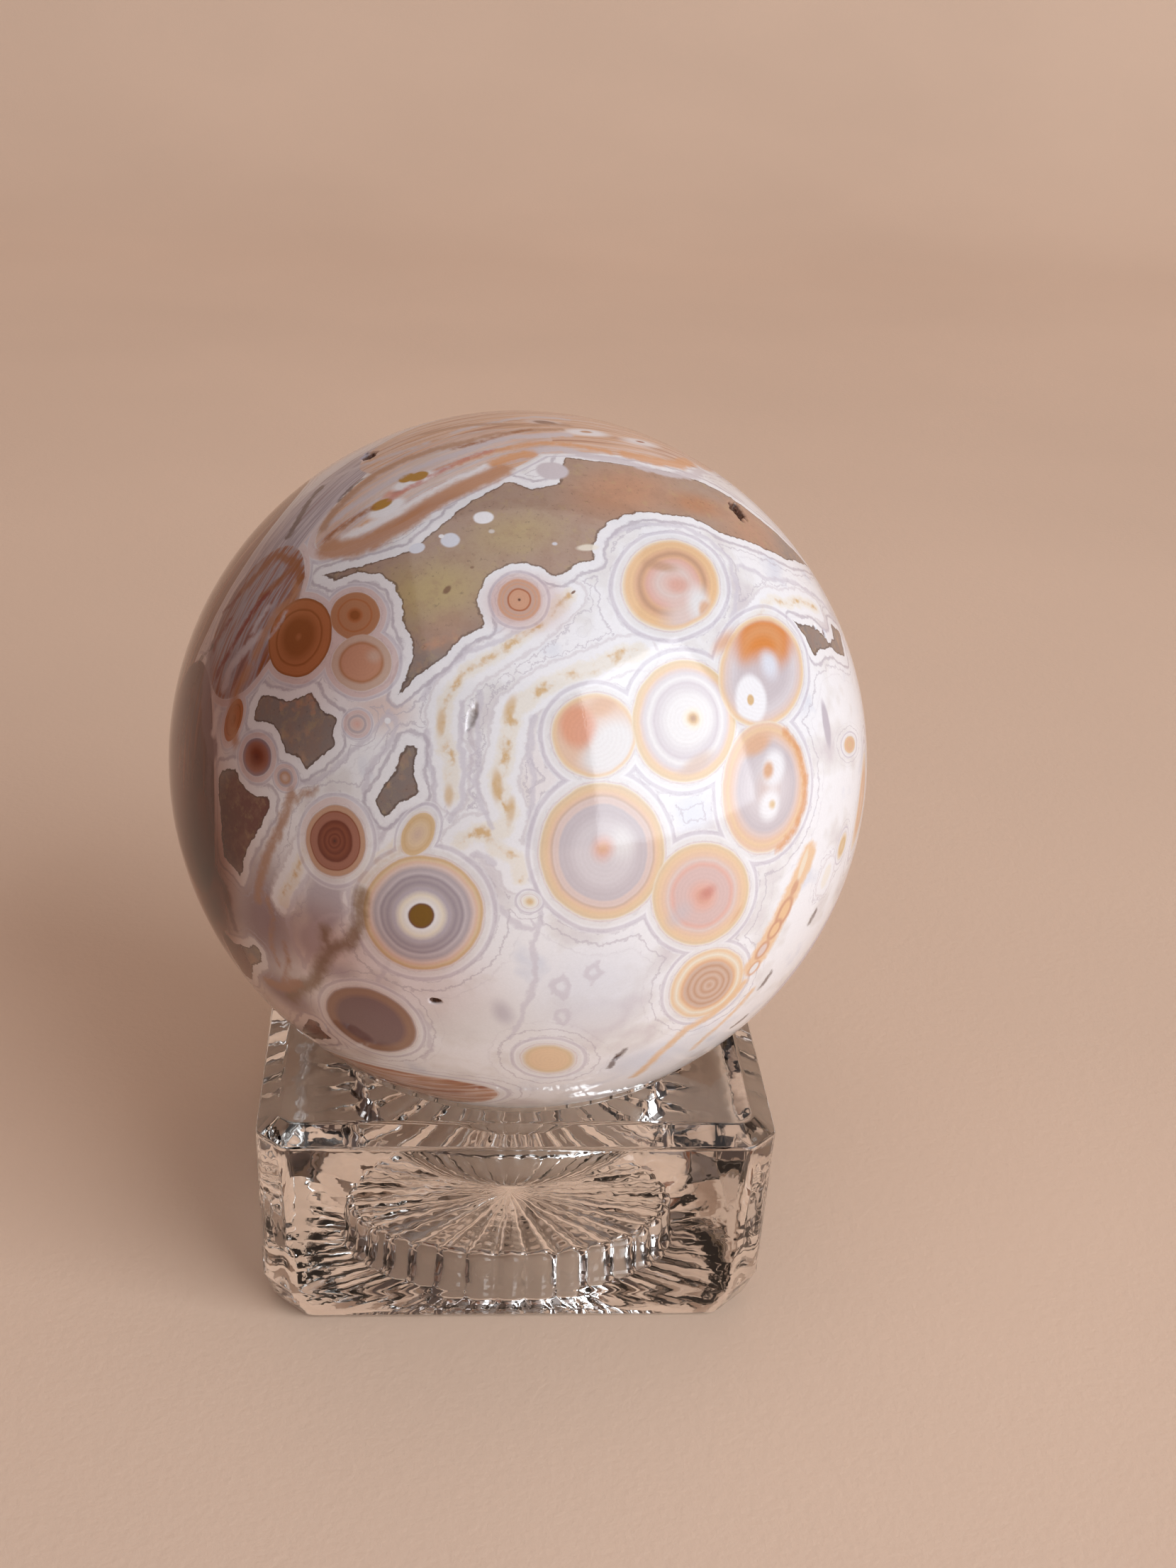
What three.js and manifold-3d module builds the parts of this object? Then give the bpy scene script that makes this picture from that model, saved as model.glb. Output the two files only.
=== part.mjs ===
// A polished ocean jasper ball on a small square stand of clear pressed glass.
// Millimetres, +Z up. The origin is on the surface the stand rests on, under its middle, and the
// stand's front face looks along -Y.

import * as THREE from "three";
import { mergeVertices } from "three/addons/utils/BufferGeometryUtils.js";
import Module from "manifold-3d";

// Driving dimensions of the stone.
const STONE_RADIUS = 33;
const STONE_DETAIL = 14; // each edge of the icosahedron is split into one part more than this
const REST_GAP = 0.3; // what is left between the stone and the lip it rests on

// Open pits in the polish, where a pocket in the rock met the cut surface. Around is degrees from
// the front towards +X, up is degrees above the stone's equator, and turn is the long axis's angle
// to the level direction.
const PITS = [
  { around: 75.5, up: 55, length: 2.7, width: 2.1, depth: 1.2, turn: 15 },
  { around: -90.5, up: 64, length: 2.4, width: 1.5, depth: 0.8, turn: 5 },
  { around: -14.5, up: -14, length: 1.1, width: 0.7, depth: 0.5, turn: 10 },
  { around: 66.5, up: 34, length: 0.8, width: 0.6, depth: 0.5, turn: 0 },
  { around: 69.5, up: 32, length: 0.8, width: 0.7, depth: 0.5, turn: 30 },
  { around: -11, up: 30.5, length: 2.2, width: 0.7, depth: 0.5, turn: 80 },
  { around: 16, up: -28, length: 1.4, width: 0.5, depth: 0.4, turn: 60 },
  { around: 150, up: 24, length: 2.6, width: 1.3, depth: 0.9, turn: 35 },
  { around: -152, up: 6, length: 1.8, width: 1.2, depth: 0.8, turn: 120 },
  { around: 118, up: -22, length: 1.5, width: 0.8, depth: 0.6, turn: 70 },
];

// Driving dimensions of the glass stand. Half is half the width across two opposite sides.
const STAND_HEIGHT = 21.5;
const RIM_HALF = 21.9;
const SHOULDER_HALF = 24.1;
const SHOULDER_HEIGHT = 20.1;
const WALL_FOOT_HALF = 23.8;
const FOOT_HEIGHT = 3.4; // the wall turns in below this
const FLOOR_HALF = 22.9;
const RIM_CORNER = 1.05; // how far each corner is cut back along a side
const SHOULDER_CORNER = 2.5;
const WALL_FOOT_CORNER = 3.1;
const FLOOR_CORNER = 3.5;
const EDGE_BREAK = 0.22; // the fire-polished softening of the rim's and shoulder's edges

// The round bowl in the top, which the stone sits on.
const BOWL_RIM_RADIUS = 19.7;
const BOWL_DEPTH = 14.3;
const LIP_RADIUS = 0.6;
const BOWL_SIDES = 72;
const BOWL_STEPS = 9;
const LIP_STEPS = 3;

// The round recess under the base: a scalloped wall below a ceiling with a pressed sunburst.
const RECESS_RADIUS = 16;
const RECESS_HEIGHT = 4.6;
const FLUTES = 32;
const FLUTE_BULGE = 0.55;
const STEPS_PER_FLUTE = 4;
const WALL_DRAFT = 0.35; // the recess narrows this much on its way up
const RAY_DEPTH = 0.45; // height of the sunburst's ridges at their outer ends
const HUB_RADIUS = 2.2; // the smooth middle of the sunburst
const CEILING_RISE = 0.25; // the ceiling is this much higher in the middle

const wasm = await Module();
wasm.setup();

// Solids: three.js geometry to manifold-3d and back.

function solidOf(geometry) {
  const bare = geometry.clone();
  bare.deleteAttribute("normal");
  bare.deleteAttribute("uv");
  const merged = mergeVertices(bare, 1e-4);
  const vertProperties = new Float32Array(merged.attributes.position.array);
  const triVerts = new Uint32Array(merged.index.array);
  return new wasm.Manifold(new wasm.Mesh({ numProp: 3, vertProperties, triVerts }));
}

function geometryOf(solid) {
  const mesh = solid.getMesh();
  const geometry = new THREE.BufferGeometry();
  geometry.setAttribute("position", new THREE.BufferAttribute(mesh.vertProperties, 3));
  geometry.setIndex(new THREE.BufferAttribute(mesh.triVerts, 1));
  geometry.computeVertexNormals();
  return geometry;
}

// A closed skin over a stack of rings, each with the same number of points, from the lowest ring
// to the highest. The points of a ring run counter-clockwise seen from above.
function stackedRings(rings) {
  const count = rings[0].length;
  const positions = rings.flat().flatMap((point) => [point.x, point.y, point.z]);
  const index = [];
  for (let level = 0; level + 1 < rings.length; level++) {
    for (let i = 0; i < count; i++) {
      const a = level * count + i;
      const b = level * count + ((i + 1) % count);
      index.push(a, b, b + count, a, b + count, a + count);
    }
  }
  closeRing(positions, index, rings[0], 0, false);
  closeRing(positions, index, rings.at(-1), (rings.length - 1) * count, true);
  const geometry = new THREE.BufferGeometry();
  geometry.setAttribute("position", new THREE.Float32BufferAttribute(positions, 3));
  geometry.setIndex(index);
  return geometry;
}

// Closes one end of a stack with a fan about the ring's middle.
function closeRing(positions, index, ring, first, facesUp) {
  const middle = new THREE.Vector3();
  ring.forEach((point) => middle.add(point));
  middle.divideScalar(ring.length);
  const hub = positions.length / 3;
  positions.push(middle.x, middle.y, middle.z);
  for (let i = 0; i < ring.length; i++) {
    const a = first + i;
    const b = first + ((i + 1) % ring.length);
    if (facesUp) index.push(hub, a, b);
    else index.push(hub, b, a);
  }
}

// The stone.

// The matrix that puts a pit's own frame on the stone: x along the pit, y across it, z outwards.
function pitPlacement(pit) {
  const around = THREE.MathUtils.degToRad(pit.around);
  const up = THREE.MathUtils.degToRad(pit.up);
  const outward = new THREE.Vector3(
    Math.sin(around) * Math.cos(up),
    -Math.cos(around) * Math.cos(up),
    Math.sin(up),
  );
  const level = new THREE.Vector3(Math.cos(around), Math.sin(around), 0);
  level.applyAxisAngle(outward, THREE.MathUtils.degToRad(pit.turn));
  const across = new THREE.Vector3().crossVectors(outward, level);
  const placement = new THREE.Matrix4().makeBasis(level, across, outward);
  return placement.setPosition(outward.multiplyScalar(STONE_RADIUS));
}

function pitCutter(pit) {
  const cutter = new THREE.IcosahedronGeometry(1, 1);
  cutter.scale(pit.length / 2, pit.width / 2, pit.depth);
  cutter.applyMatrix4(pitPlacement(pit));
  return solidOf(cutter);
}

function stoneGeometry() {
  const ball = solidOf(new THREE.IcosahedronGeometry(STONE_RADIUS, STONE_DETAIL));
  return geometryOf(PITS.reduce((stone, pit) => stone.subtract(pitCutter(pit)), ball));
}

// The glass stand.

// One level of the block: a square whose four corners are cut off.
function blockLevel(half, corner, height) {
  const flat = half - corner;
  const outline = [
    [flat, -half], [half, -flat], [half, flat], [flat, half],
    [-flat, half], [-half, flat], [-half, -flat], [-flat, -half],
  ];
  return outline.map(([x, y]) => new THREE.Vector3(x, y, height));
}

// The block's levels from the floor up: the foot's rounding, the wall, the shoulder and the bevel.
function blockGeometry() {
  const levels = [];
  for (const degrees of [80, 60, 40, 20]) {
    const turn = THREE.MathUtils.degToRad(degrees);
    const inward = (1 - Math.cos(turn)) / (1 - Math.cos(THREE.MathUtils.degToRad(80)));
    const down = Math.sin(turn) / Math.sin(THREE.MathUtils.degToRad(80));
    levels.push(blockLevel(
      THREE.MathUtils.lerp(WALL_FOOT_HALF, FLOOR_HALF, inward),
      THREE.MathUtils.lerp(WALL_FOOT_CORNER, FLOOR_CORNER, inward),
      FOOT_HEIGHT * (1 - down),
    ));
  }
  levels.push(blockLevel(WALL_FOOT_HALF, WALL_FOOT_CORNER, FOOT_HEIGHT));
  levels.push(blockLevel(SHOULDER_HALF, SHOULDER_CORNER, SHOULDER_HEIGHT - EDGE_BREAK));
  levels.push(blockLevel(SHOULDER_HALF - EDGE_BREAK, SHOULDER_CORNER, SHOULDER_HEIGHT + EDGE_BREAK));
  levels.push(blockLevel(RIM_HALF + EDGE_BREAK, RIM_CORNER, STAND_HEIGHT - EDGE_BREAK / 2));
  levels.push(blockLevel(RIM_HALF - EDGE_BREAK, RIM_CORNER, STAND_HEIGHT));
  return stackedRings(levels);
}

// What the bowl takes out of the block: a round dish with a rounded lip, carried on above the top.
function bowlCutter() {
  const radius = (BOWL_RIM_RADIUS ** 2 + BOWL_DEPTH ** 2) / (2 * BOWL_DEPTH);
  const middle = STAND_HEIGHT - BOWL_DEPTH + radius;
  const lipCentre = new THREE.Vector2(BOWL_RIM_RADIUS + LIP_RADIUS, STAND_HEIGHT - LIP_RADIUS);
  const reach = Math.asin((BOWL_RIM_RADIUS - LIP_RADIUS * 0.1) / radius);
  const profile = [];
  for (let step = 0; step <= BOWL_STEPS; step++) {
    const angle = reach * (step / BOWL_STEPS) * 0.99;
    profile.push(new THREE.Vector2(radius * Math.sin(angle), middle - radius * Math.cos(angle)));
  }
  for (let step = 0; step <= LIP_STEPS; step++) {
    const angle = THREE.MathUtils.degToRad(160 - (70 * step) / LIP_STEPS);
    profile.push(new THREE.Vector2(
      lipCentre.x + LIP_RADIUS * Math.cos(angle),
      lipCentre.y + LIP_RADIUS * Math.sin(angle),
    ));
  }
  const above = STAND_HEIGHT + 2;
  profile.push(new THREE.Vector2(lipCentre.x, above));
  profile.push(new THREE.Vector2(0, above));
  const cutter = new THREE.LatheGeometry(profile, BOWL_SIDES);
  cutter.rotateX(Math.PI / 2);
  return solidOf(cutter);
}

// One ring of the recess. Bulge is how far each scallop swells outwards, and ridge how far the
// ceiling drops between two rays of the sunburst.
function recessRing(radius, height, bulge, ridge) {
  const ring = [];
  const count = FLUTES * STEPS_PER_FLUTE;
  for (let i = 0; i < count; i++) {
    const angle = (2 * Math.PI * i) / count;
    const swell = Math.abs(Math.cos((FLUTES * angle) / 2));
    const reach = radius + bulge * swell;
    ring.push(new THREE.Vector3(
      reach * Math.cos(angle),
      reach * Math.sin(angle),
      height - ridge * (1 - swell),
    ));
  }
  return ring;
}

// What the recess takes out of the block, from below the floor to the sunburst's middle.
function recessCutter() {
  const top = RECESS_RADIUS - WALL_DRAFT;
  const shelf = top - 0.5;
  return solidOf(stackedRings([
    recessRing(RECESS_RADIUS + 0.1, -1, FLUTE_BULGE, 0),
    recessRing(RECESS_RADIUS, 0.3, FLUTE_BULGE, 0),
    recessRing(top, RECESS_HEIGHT - 0.5, FLUTE_BULGE, 0),
    recessRing(shelf, RECESS_HEIGHT, FLUTE_BULGE, RAY_DEPTH),
    recessRing(shelf * 0.55, RECESS_HEIGHT + CEILING_RISE * 0.6, 0, RAY_DEPTH * 0.6),
    recessRing(HUB_RADIUS, RECESS_HEIGHT + CEILING_RISE, 0, 0),
  ]));
}

function standGeometry() {
  const block = solidOf(blockGeometry());
  return geometryOf(block.subtract(bowlCutter()).subtract(recessCutter()));
}

// Assembly.

// The stone's middle: it rests on the bowl's rounded lip.
function stoneHeight() {
  const reach = STONE_RADIUS + LIP_RADIUS + REST_GAP;
  const out = BOWL_RIM_RADIUS + LIP_RADIUS;
  return STAND_HEIGHT - LIP_RADIUS + Math.sqrt(reach ** 2 - out ** 2);
}

const jasper = new THREE.MeshStandardMaterial({ color: 0xc2b1aa, roughness: 0.12, metalness: 0 });
const clearGlass = new THREE.MeshStandardMaterial({
  color: 0xe9e6df,
  roughness: 0.03,
  metalness: 0,
  transparent: true,
  opacity: 0.35,
});

const stone = new THREE.Mesh(stoneGeometry(), jasper);
stone.name = "stone";
stone.position.z = stoneHeight();

const stand = new THREE.Mesh(standGeometry(), clearGlass);
stand.name = "glass_stand";

const part = new THREE.Group();
part.name = "ocean_jasper_sphere_on_stand";
part.add(stand, stone);

export default part;
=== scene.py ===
"""A polished ocean jasper ball on a small square stand of clear pressed glass.

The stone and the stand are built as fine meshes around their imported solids. The stone's orbs,
rinds, windows and streaks are a solid pattern worked out from their own places and sizes, so the
pattern goes on all the way round. Metres are used for the meshes and millimetres for the sizes.
"""

import logging
import math
from dataclasses import dataclass, field
from enum import Enum

import bmesh
import bpy
import numpy as np
from mathutils import Matrix, Vector, noise


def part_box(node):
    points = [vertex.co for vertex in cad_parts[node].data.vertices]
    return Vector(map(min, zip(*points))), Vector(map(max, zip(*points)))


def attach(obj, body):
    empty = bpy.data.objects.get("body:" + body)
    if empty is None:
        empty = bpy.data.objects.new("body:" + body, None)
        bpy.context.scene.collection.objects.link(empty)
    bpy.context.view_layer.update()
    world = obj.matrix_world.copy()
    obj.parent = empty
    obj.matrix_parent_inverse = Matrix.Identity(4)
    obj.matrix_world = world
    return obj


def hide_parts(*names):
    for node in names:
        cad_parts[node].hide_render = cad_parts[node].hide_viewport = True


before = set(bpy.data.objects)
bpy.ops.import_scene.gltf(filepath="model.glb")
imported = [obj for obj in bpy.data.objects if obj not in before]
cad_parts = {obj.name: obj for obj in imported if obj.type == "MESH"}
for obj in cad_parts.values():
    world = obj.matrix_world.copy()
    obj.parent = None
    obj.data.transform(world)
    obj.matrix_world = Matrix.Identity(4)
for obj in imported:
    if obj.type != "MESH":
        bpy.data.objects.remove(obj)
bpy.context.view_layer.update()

MM = 0.001
BODY = "root"
STONE_RADIUS_MM = 33.0
# More than any distance on the stone that a marking asks about, in millimetres.
OUT_OF_REACH_MM = 50.0

Rgb = tuple[float, float, float]
# A place in the photograph: pixels across and down from its top left corner.
Pixel = tuple[float, float]
Socket = bpy.types.NodeSocket

log = logging.getLogger("ocean_jasper")


def linear(red: int, green: int, blue: int) -> Rgb:
    """Turns a screen colour into the linear light values that shaders take.

    Args:
        red: Red, from 0 to 255.
        green: Green, from 0 to 255.
        blue: Blue, from 0 to 255.

    Returns:
        The colour's three linear values, from 0 to 1.
    """
    shares = (channel / 255 for channel in (red, green, blue))
    return tuple(s / 12.92 if s <= 0.04045 else ((s + 0.055) / 1.055) ** 2.4 for s in shares)


def placed(name: str, data: bpy.types.ID) -> bpy.types.Object:
    """Makes an object and puts it in the scene.

    Args:
        name: The object's name.
        data: Its mesh, light or camera.

    Returns:
        The object.
    """
    made = bpy.data.objects.new(name, data)
    bpy.context.scene.collection.objects.link(made)
    return made


def bearing(around: float, up: float) -> Vector:
    """Works out a direction.

    Args:
        around: Degrees from the front towards +X.
        up: Degrees above the level.

    Returns:
        The direction, with a length of 1.
    """
    turn = math.radians(around)
    rise = math.radians(up)
    flat = math.cos(rise)
    return Vector((math.sin(turn) * flat, -math.cos(turn) * flat, math.sin(rise)))


class Tint(Enum):
    """The colours of the rock as they look in full light, and tints of painted shade for its left
    side.
    """

    SNOW = linear(246, 246, 250)
    MILK = linear(236, 234, 235)
    CREAM = linear(242, 234, 218)
    ICE = linear(226, 229, 240)
    BLUSH = linear(228, 208, 202)
    MIST = linear(221, 214, 218)
    PEARL = linear(208, 199, 204)
    RIND_LINE = linear(211, 205, 216)
    BLUE_LILAC = linear(206, 203, 222)
    PALE_LILAC = linear(214, 206, 212)
    LILAC = linear(193, 185, 196)
    LILAC_LINE = linear(194, 184, 192)
    DOVE = linear(186, 176, 183)
    ASH_LILAC = linear(168, 158, 168)
    MAUVE = linear(158, 134, 140)
    SMOKE = linear(132, 104, 105)
    SMOKE_BROWN = linear(125, 94, 92)
    COCOA = linear(132, 92, 82)
    HONEY = linear(222, 190, 146)
    CUSTARD = linear(230, 206, 174)
    MELON = linear(238, 200, 158)
    SHELL = linear(238, 208, 173)
    CORAL = linear(230, 158, 126)
    STRAW = linear(230, 205, 168)
    PEACH_PALE = linear(234, 202, 180)
    PEACH = linear(226, 183, 151)
    APRICOT = linear(224, 164, 116)
    ORANGE = linear(222, 142, 76)
    BISCUIT = linear(216, 190, 174)
    TAN = linear(202, 162, 136)
    TAN_DEEP = linear(184, 142, 114)
    CARAMEL = linear(213, 162, 135)
    TOFFEE = linear(194, 141, 106)
    OLIVE_BROWN = linear(146, 116, 84)
    DUN = linear(163, 128, 108)
    AMBER = linear(190, 122, 80)
    CLAY = linear(167, 112, 94)
    RUST = linear(160, 98, 56)
    UMBER = linear(118, 78, 56)
    BRICK = linear(140, 76, 54)
    BRICK_DARK = linear(114, 54, 40)
    ROSE = linear(224, 172, 156)
    ROSE_PALE = linear(230, 186, 174)
    ROSE_GREY = linear(222, 194, 190)
    ROSE_DEEP = linear(206, 138, 128)
    RED = linear(142, 60, 50)
    OLIVE_DOT = linear(128, 92, 22)
    OLIVE_GOLD = linear(184, 136, 54)
    POOL_GREY = linear(175, 147, 127)
    POOL_TAN = linear(178, 152, 136)
    POOL_OLIVE = linear(192, 170, 124)
    POOL_PINK = linear(195, 148, 120)
    POOL_ORANGE = linear(190, 134, 98)
    WINDOW_GREY = linear(144, 131, 126)
    SHARD = linear(118, 74, 68)
    SLIT = linear(104, 84, 80)
    SEAM = linear(84, 66, 60)
    PIT = linear(62, 46, 40)
    # Tints multiplied over the rock: on its left side they are painted shade together with the
    # stone's brown stains.
    STAIN_AND_SHADE_PALE = linear(230, 211, 205)
    STAIN_AND_SHADE_DEEP = linear(192, 150, 132)
    STAIN_ROSE = linear(241, 226, 223)


# Pairs of a place along a ramp or a radius, and the colour there.
Stops = tuple[tuple[float, Tint | Rgb], ...]
Value = Socket | Tint | float | tuple[float, ...]


def light_of(colour: Value) -> Value:
    """Gives a tint's linear light values, and anything else as it is."""
    return colour.value if isinstance(colour, Tint) else colour


@dataclass(frozen=True)
class PhotoView:
    """The photograph's viewpoint, which aims the camera and finds what each of its pixels shows.

    The eye's place is in millimetres from the middle of the stone.
    """

    image_width: int = 1659
    image_height: int = 2212
    focal_px: float = 2964.5
    eye_mm: tuple[float, float, float] = (-9.35, -182.45, 84.96)
    heading_deg: float = 5.02
    pitch_deg: float = 25.51
    roll_deg: float = 2.96
    sensor_mm: float = 36.0

    def axes(self) -> tuple[Vector, Vector, Vector]:
        """Works out where the view's own axes point.

        Returns:
            The directions of right, up and forward.
        """
        heading = math.radians(self.heading_deg)
        pitch = math.radians(self.pitch_deg)
        level = math.cos(pitch)
        forward = Vector((math.sin(heading) * level, math.cos(heading) * level, -math.sin(pitch)))
        flat_right = Vector((math.cos(heading), -math.sin(heading), 0))
        flat_up = flat_right.cross(forward)
        roll = math.radians(self.roll_deg)
        right = flat_right * math.cos(roll) + flat_up * math.sin(roll)
        return right, right.cross(forward), forward

    def on_stone(self, pixel: Pixel, radius: float) -> Vector:
        """Finds the point of the stone that a pixel shows.

        Args:
            pixel: The place in the photograph. Just off the stone's outline counts as on it.
            radius: The stone's radius, in millimetres.

        Returns:
            The point, in millimetres from the middle of the stone.
        """
        right, up, forward = self.axes()
        x, y = pixel
        across = (x - self.image_width / 2) / self.focal_px
        down = (y - self.image_height / 2) / self.focal_px
        ray = (forward + right * across - up * down).normalized()
        eye = Vector(self.eye_mm)
        along = -eye.dot(ray)
        inside = max(along * along - eye.length_squared + radius * radius, 0)
        return (eye + ray * (along - math.sqrt(inside))).normalized() * radius

    def camera(self, centre: Vector) -> bpy.types.Object:
        """Makes the scene's camera at the photograph's viewpoint.

        Args:
            centre: The middle of the stone, in metres.

        Returns:
            The camera.
        """
        data = bpy.data.cameras.new("photo_camera")
        data.sensor_width = self.sensor_mm
        data.lens = self.focal_px * self.sensor_mm / self.image_height
        data.clip_start = 0.01
        right, up, forward = self.axes()
        turn = Matrix((right, up, -forward)).transposed().to_4x4()
        camera = placed("photo_camera", data)
        camera.matrix_world = Matrix.Translation(centre + Vector(self.eye_mm) * MM) @ turn
        bpy.context.scene.camera = camera
        return camera


@dataclass(frozen=True)
class Spot:
    """A patch of colour on the stone: an ellipse with a crisp or a soft edge.

    The long and wide sizes are half widths in millimetres, and turn is the angle of the long one
    to the level direction, anticlockwise as seen from outside. Softness is the share of the patch
    over which it fades out.
    """

    at: Pixel
    long: float
    wide: float
    turn: float
    tint: Tint
    softness: float = 0.9
    strength: float = 1.0


@dataclass(frozen=True)
class Orb:
    """One orb of the rock: rings about its middle, with a rind of its own around it.

    Rings are pairs of a share of the radius and the colour there, from the middle outwards, and
    the first colour fills the middle. Rind is how wide the orb's rind is beside the usual one.
    Patches lie inside the orb's outer ring. Fibres are the colours of fine streaks along the orb,
    as stops of a cloud from 0 to 1.
    """

    name: str
    at: Pixel
    long: float
    wide: float
    turn: float
    rings: Stops
    rind: float = 1.0
    patches: tuple[Spot, ...] = ()
    fibres: Stops = ()


@dataclass(frozen=True)
class Streak:
    """A vein from pixel to pixel of the photograph, with its half width in millimetres."""

    name: str
    path: tuple[Pixel, ...]
    half_width: float = 0.4


@dataclass(frozen=True)
class Brush:
    """Streaks of one colour that cross the orbs and the white rock.

    The name is also that of the number that the mesh holds for it at its points.
    """

    name: str
    tint: Tint
    soft: float
    strength: float
    streaks: tuple[Streak, ...]


@dataclass(frozen=True)
class Window:
    """A clear grey window in the white rock, by the corners of its outline."""

    name: str
    outline: tuple[Pixel, ...]


AMBER_RINGS = (
    (0.2, Tint.RUST), (0.3, Tint.AMBER), (0.62, Tint.AMBER), (0.68, Tint.RUST), (0.74, Tint.AMBER),
    (0.93, Tint.AMBER), (1.0, Tint.RUST),
)
BIG_AMBER_RINGS = (
    (0.0, Tint.AMBER), (0.12, Tint.RUST), (0.4, Tint.RUST), (0.64, Tint.AMBER), (0.68, Tint.RUST),
    (0.74, Tint.AMBER), (0.9, Tint.AMBER), (0.96, Tint.RUST), (1.0, Tint.TAN),
)
EYE_RINGS = (
    (0.17, Tint.OLIVE_DOT), (0.2, Tint.UMBER), (0.225, Tint.SNOW), (0.35, Tint.CREAM),
    (0.44, Tint.LILAC), (0.5, Tint.DOVE), (0.55, Tint.ASH_LILAC), (0.6, Tint.DOVE),
    (0.65, Tint.ASH_LILAC), (0.7, Tint.PEARL), (0.76, Tint.DOVE), (0.83, Tint.BLUSH),
    (0.88, Tint.PEACH_PALE), (0.91, Tint.CUSTARD), (0.95, Tint.HONEY), (1.0, Tint.BLUSH),
)
GREAT_RINGS = (
    (0.4, Tint.MIST), (0.58, Tint.PEARL), (0.68, Tint.PEARL), (0.71, Tint.BLUSH),
    (0.775, Tint.BLUSH), (0.8, Tint.BISCUIT), (0.83, Tint.PEACH_PALE), (0.88, Tint.SHELL),
    (0.95, Tint.CUSTARD), (1.0, Tint.CREAM),
)
PALE_RINGS = (
    (0.0, Tint.BLUSH), (0.45, Tint.MILK), (0.72, Tint.BLUSH), (0.78, Tint.PEACH_PALE),
    (0.9, Tint.STRAW), (1.0, Tint.CREAM),
)

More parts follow.
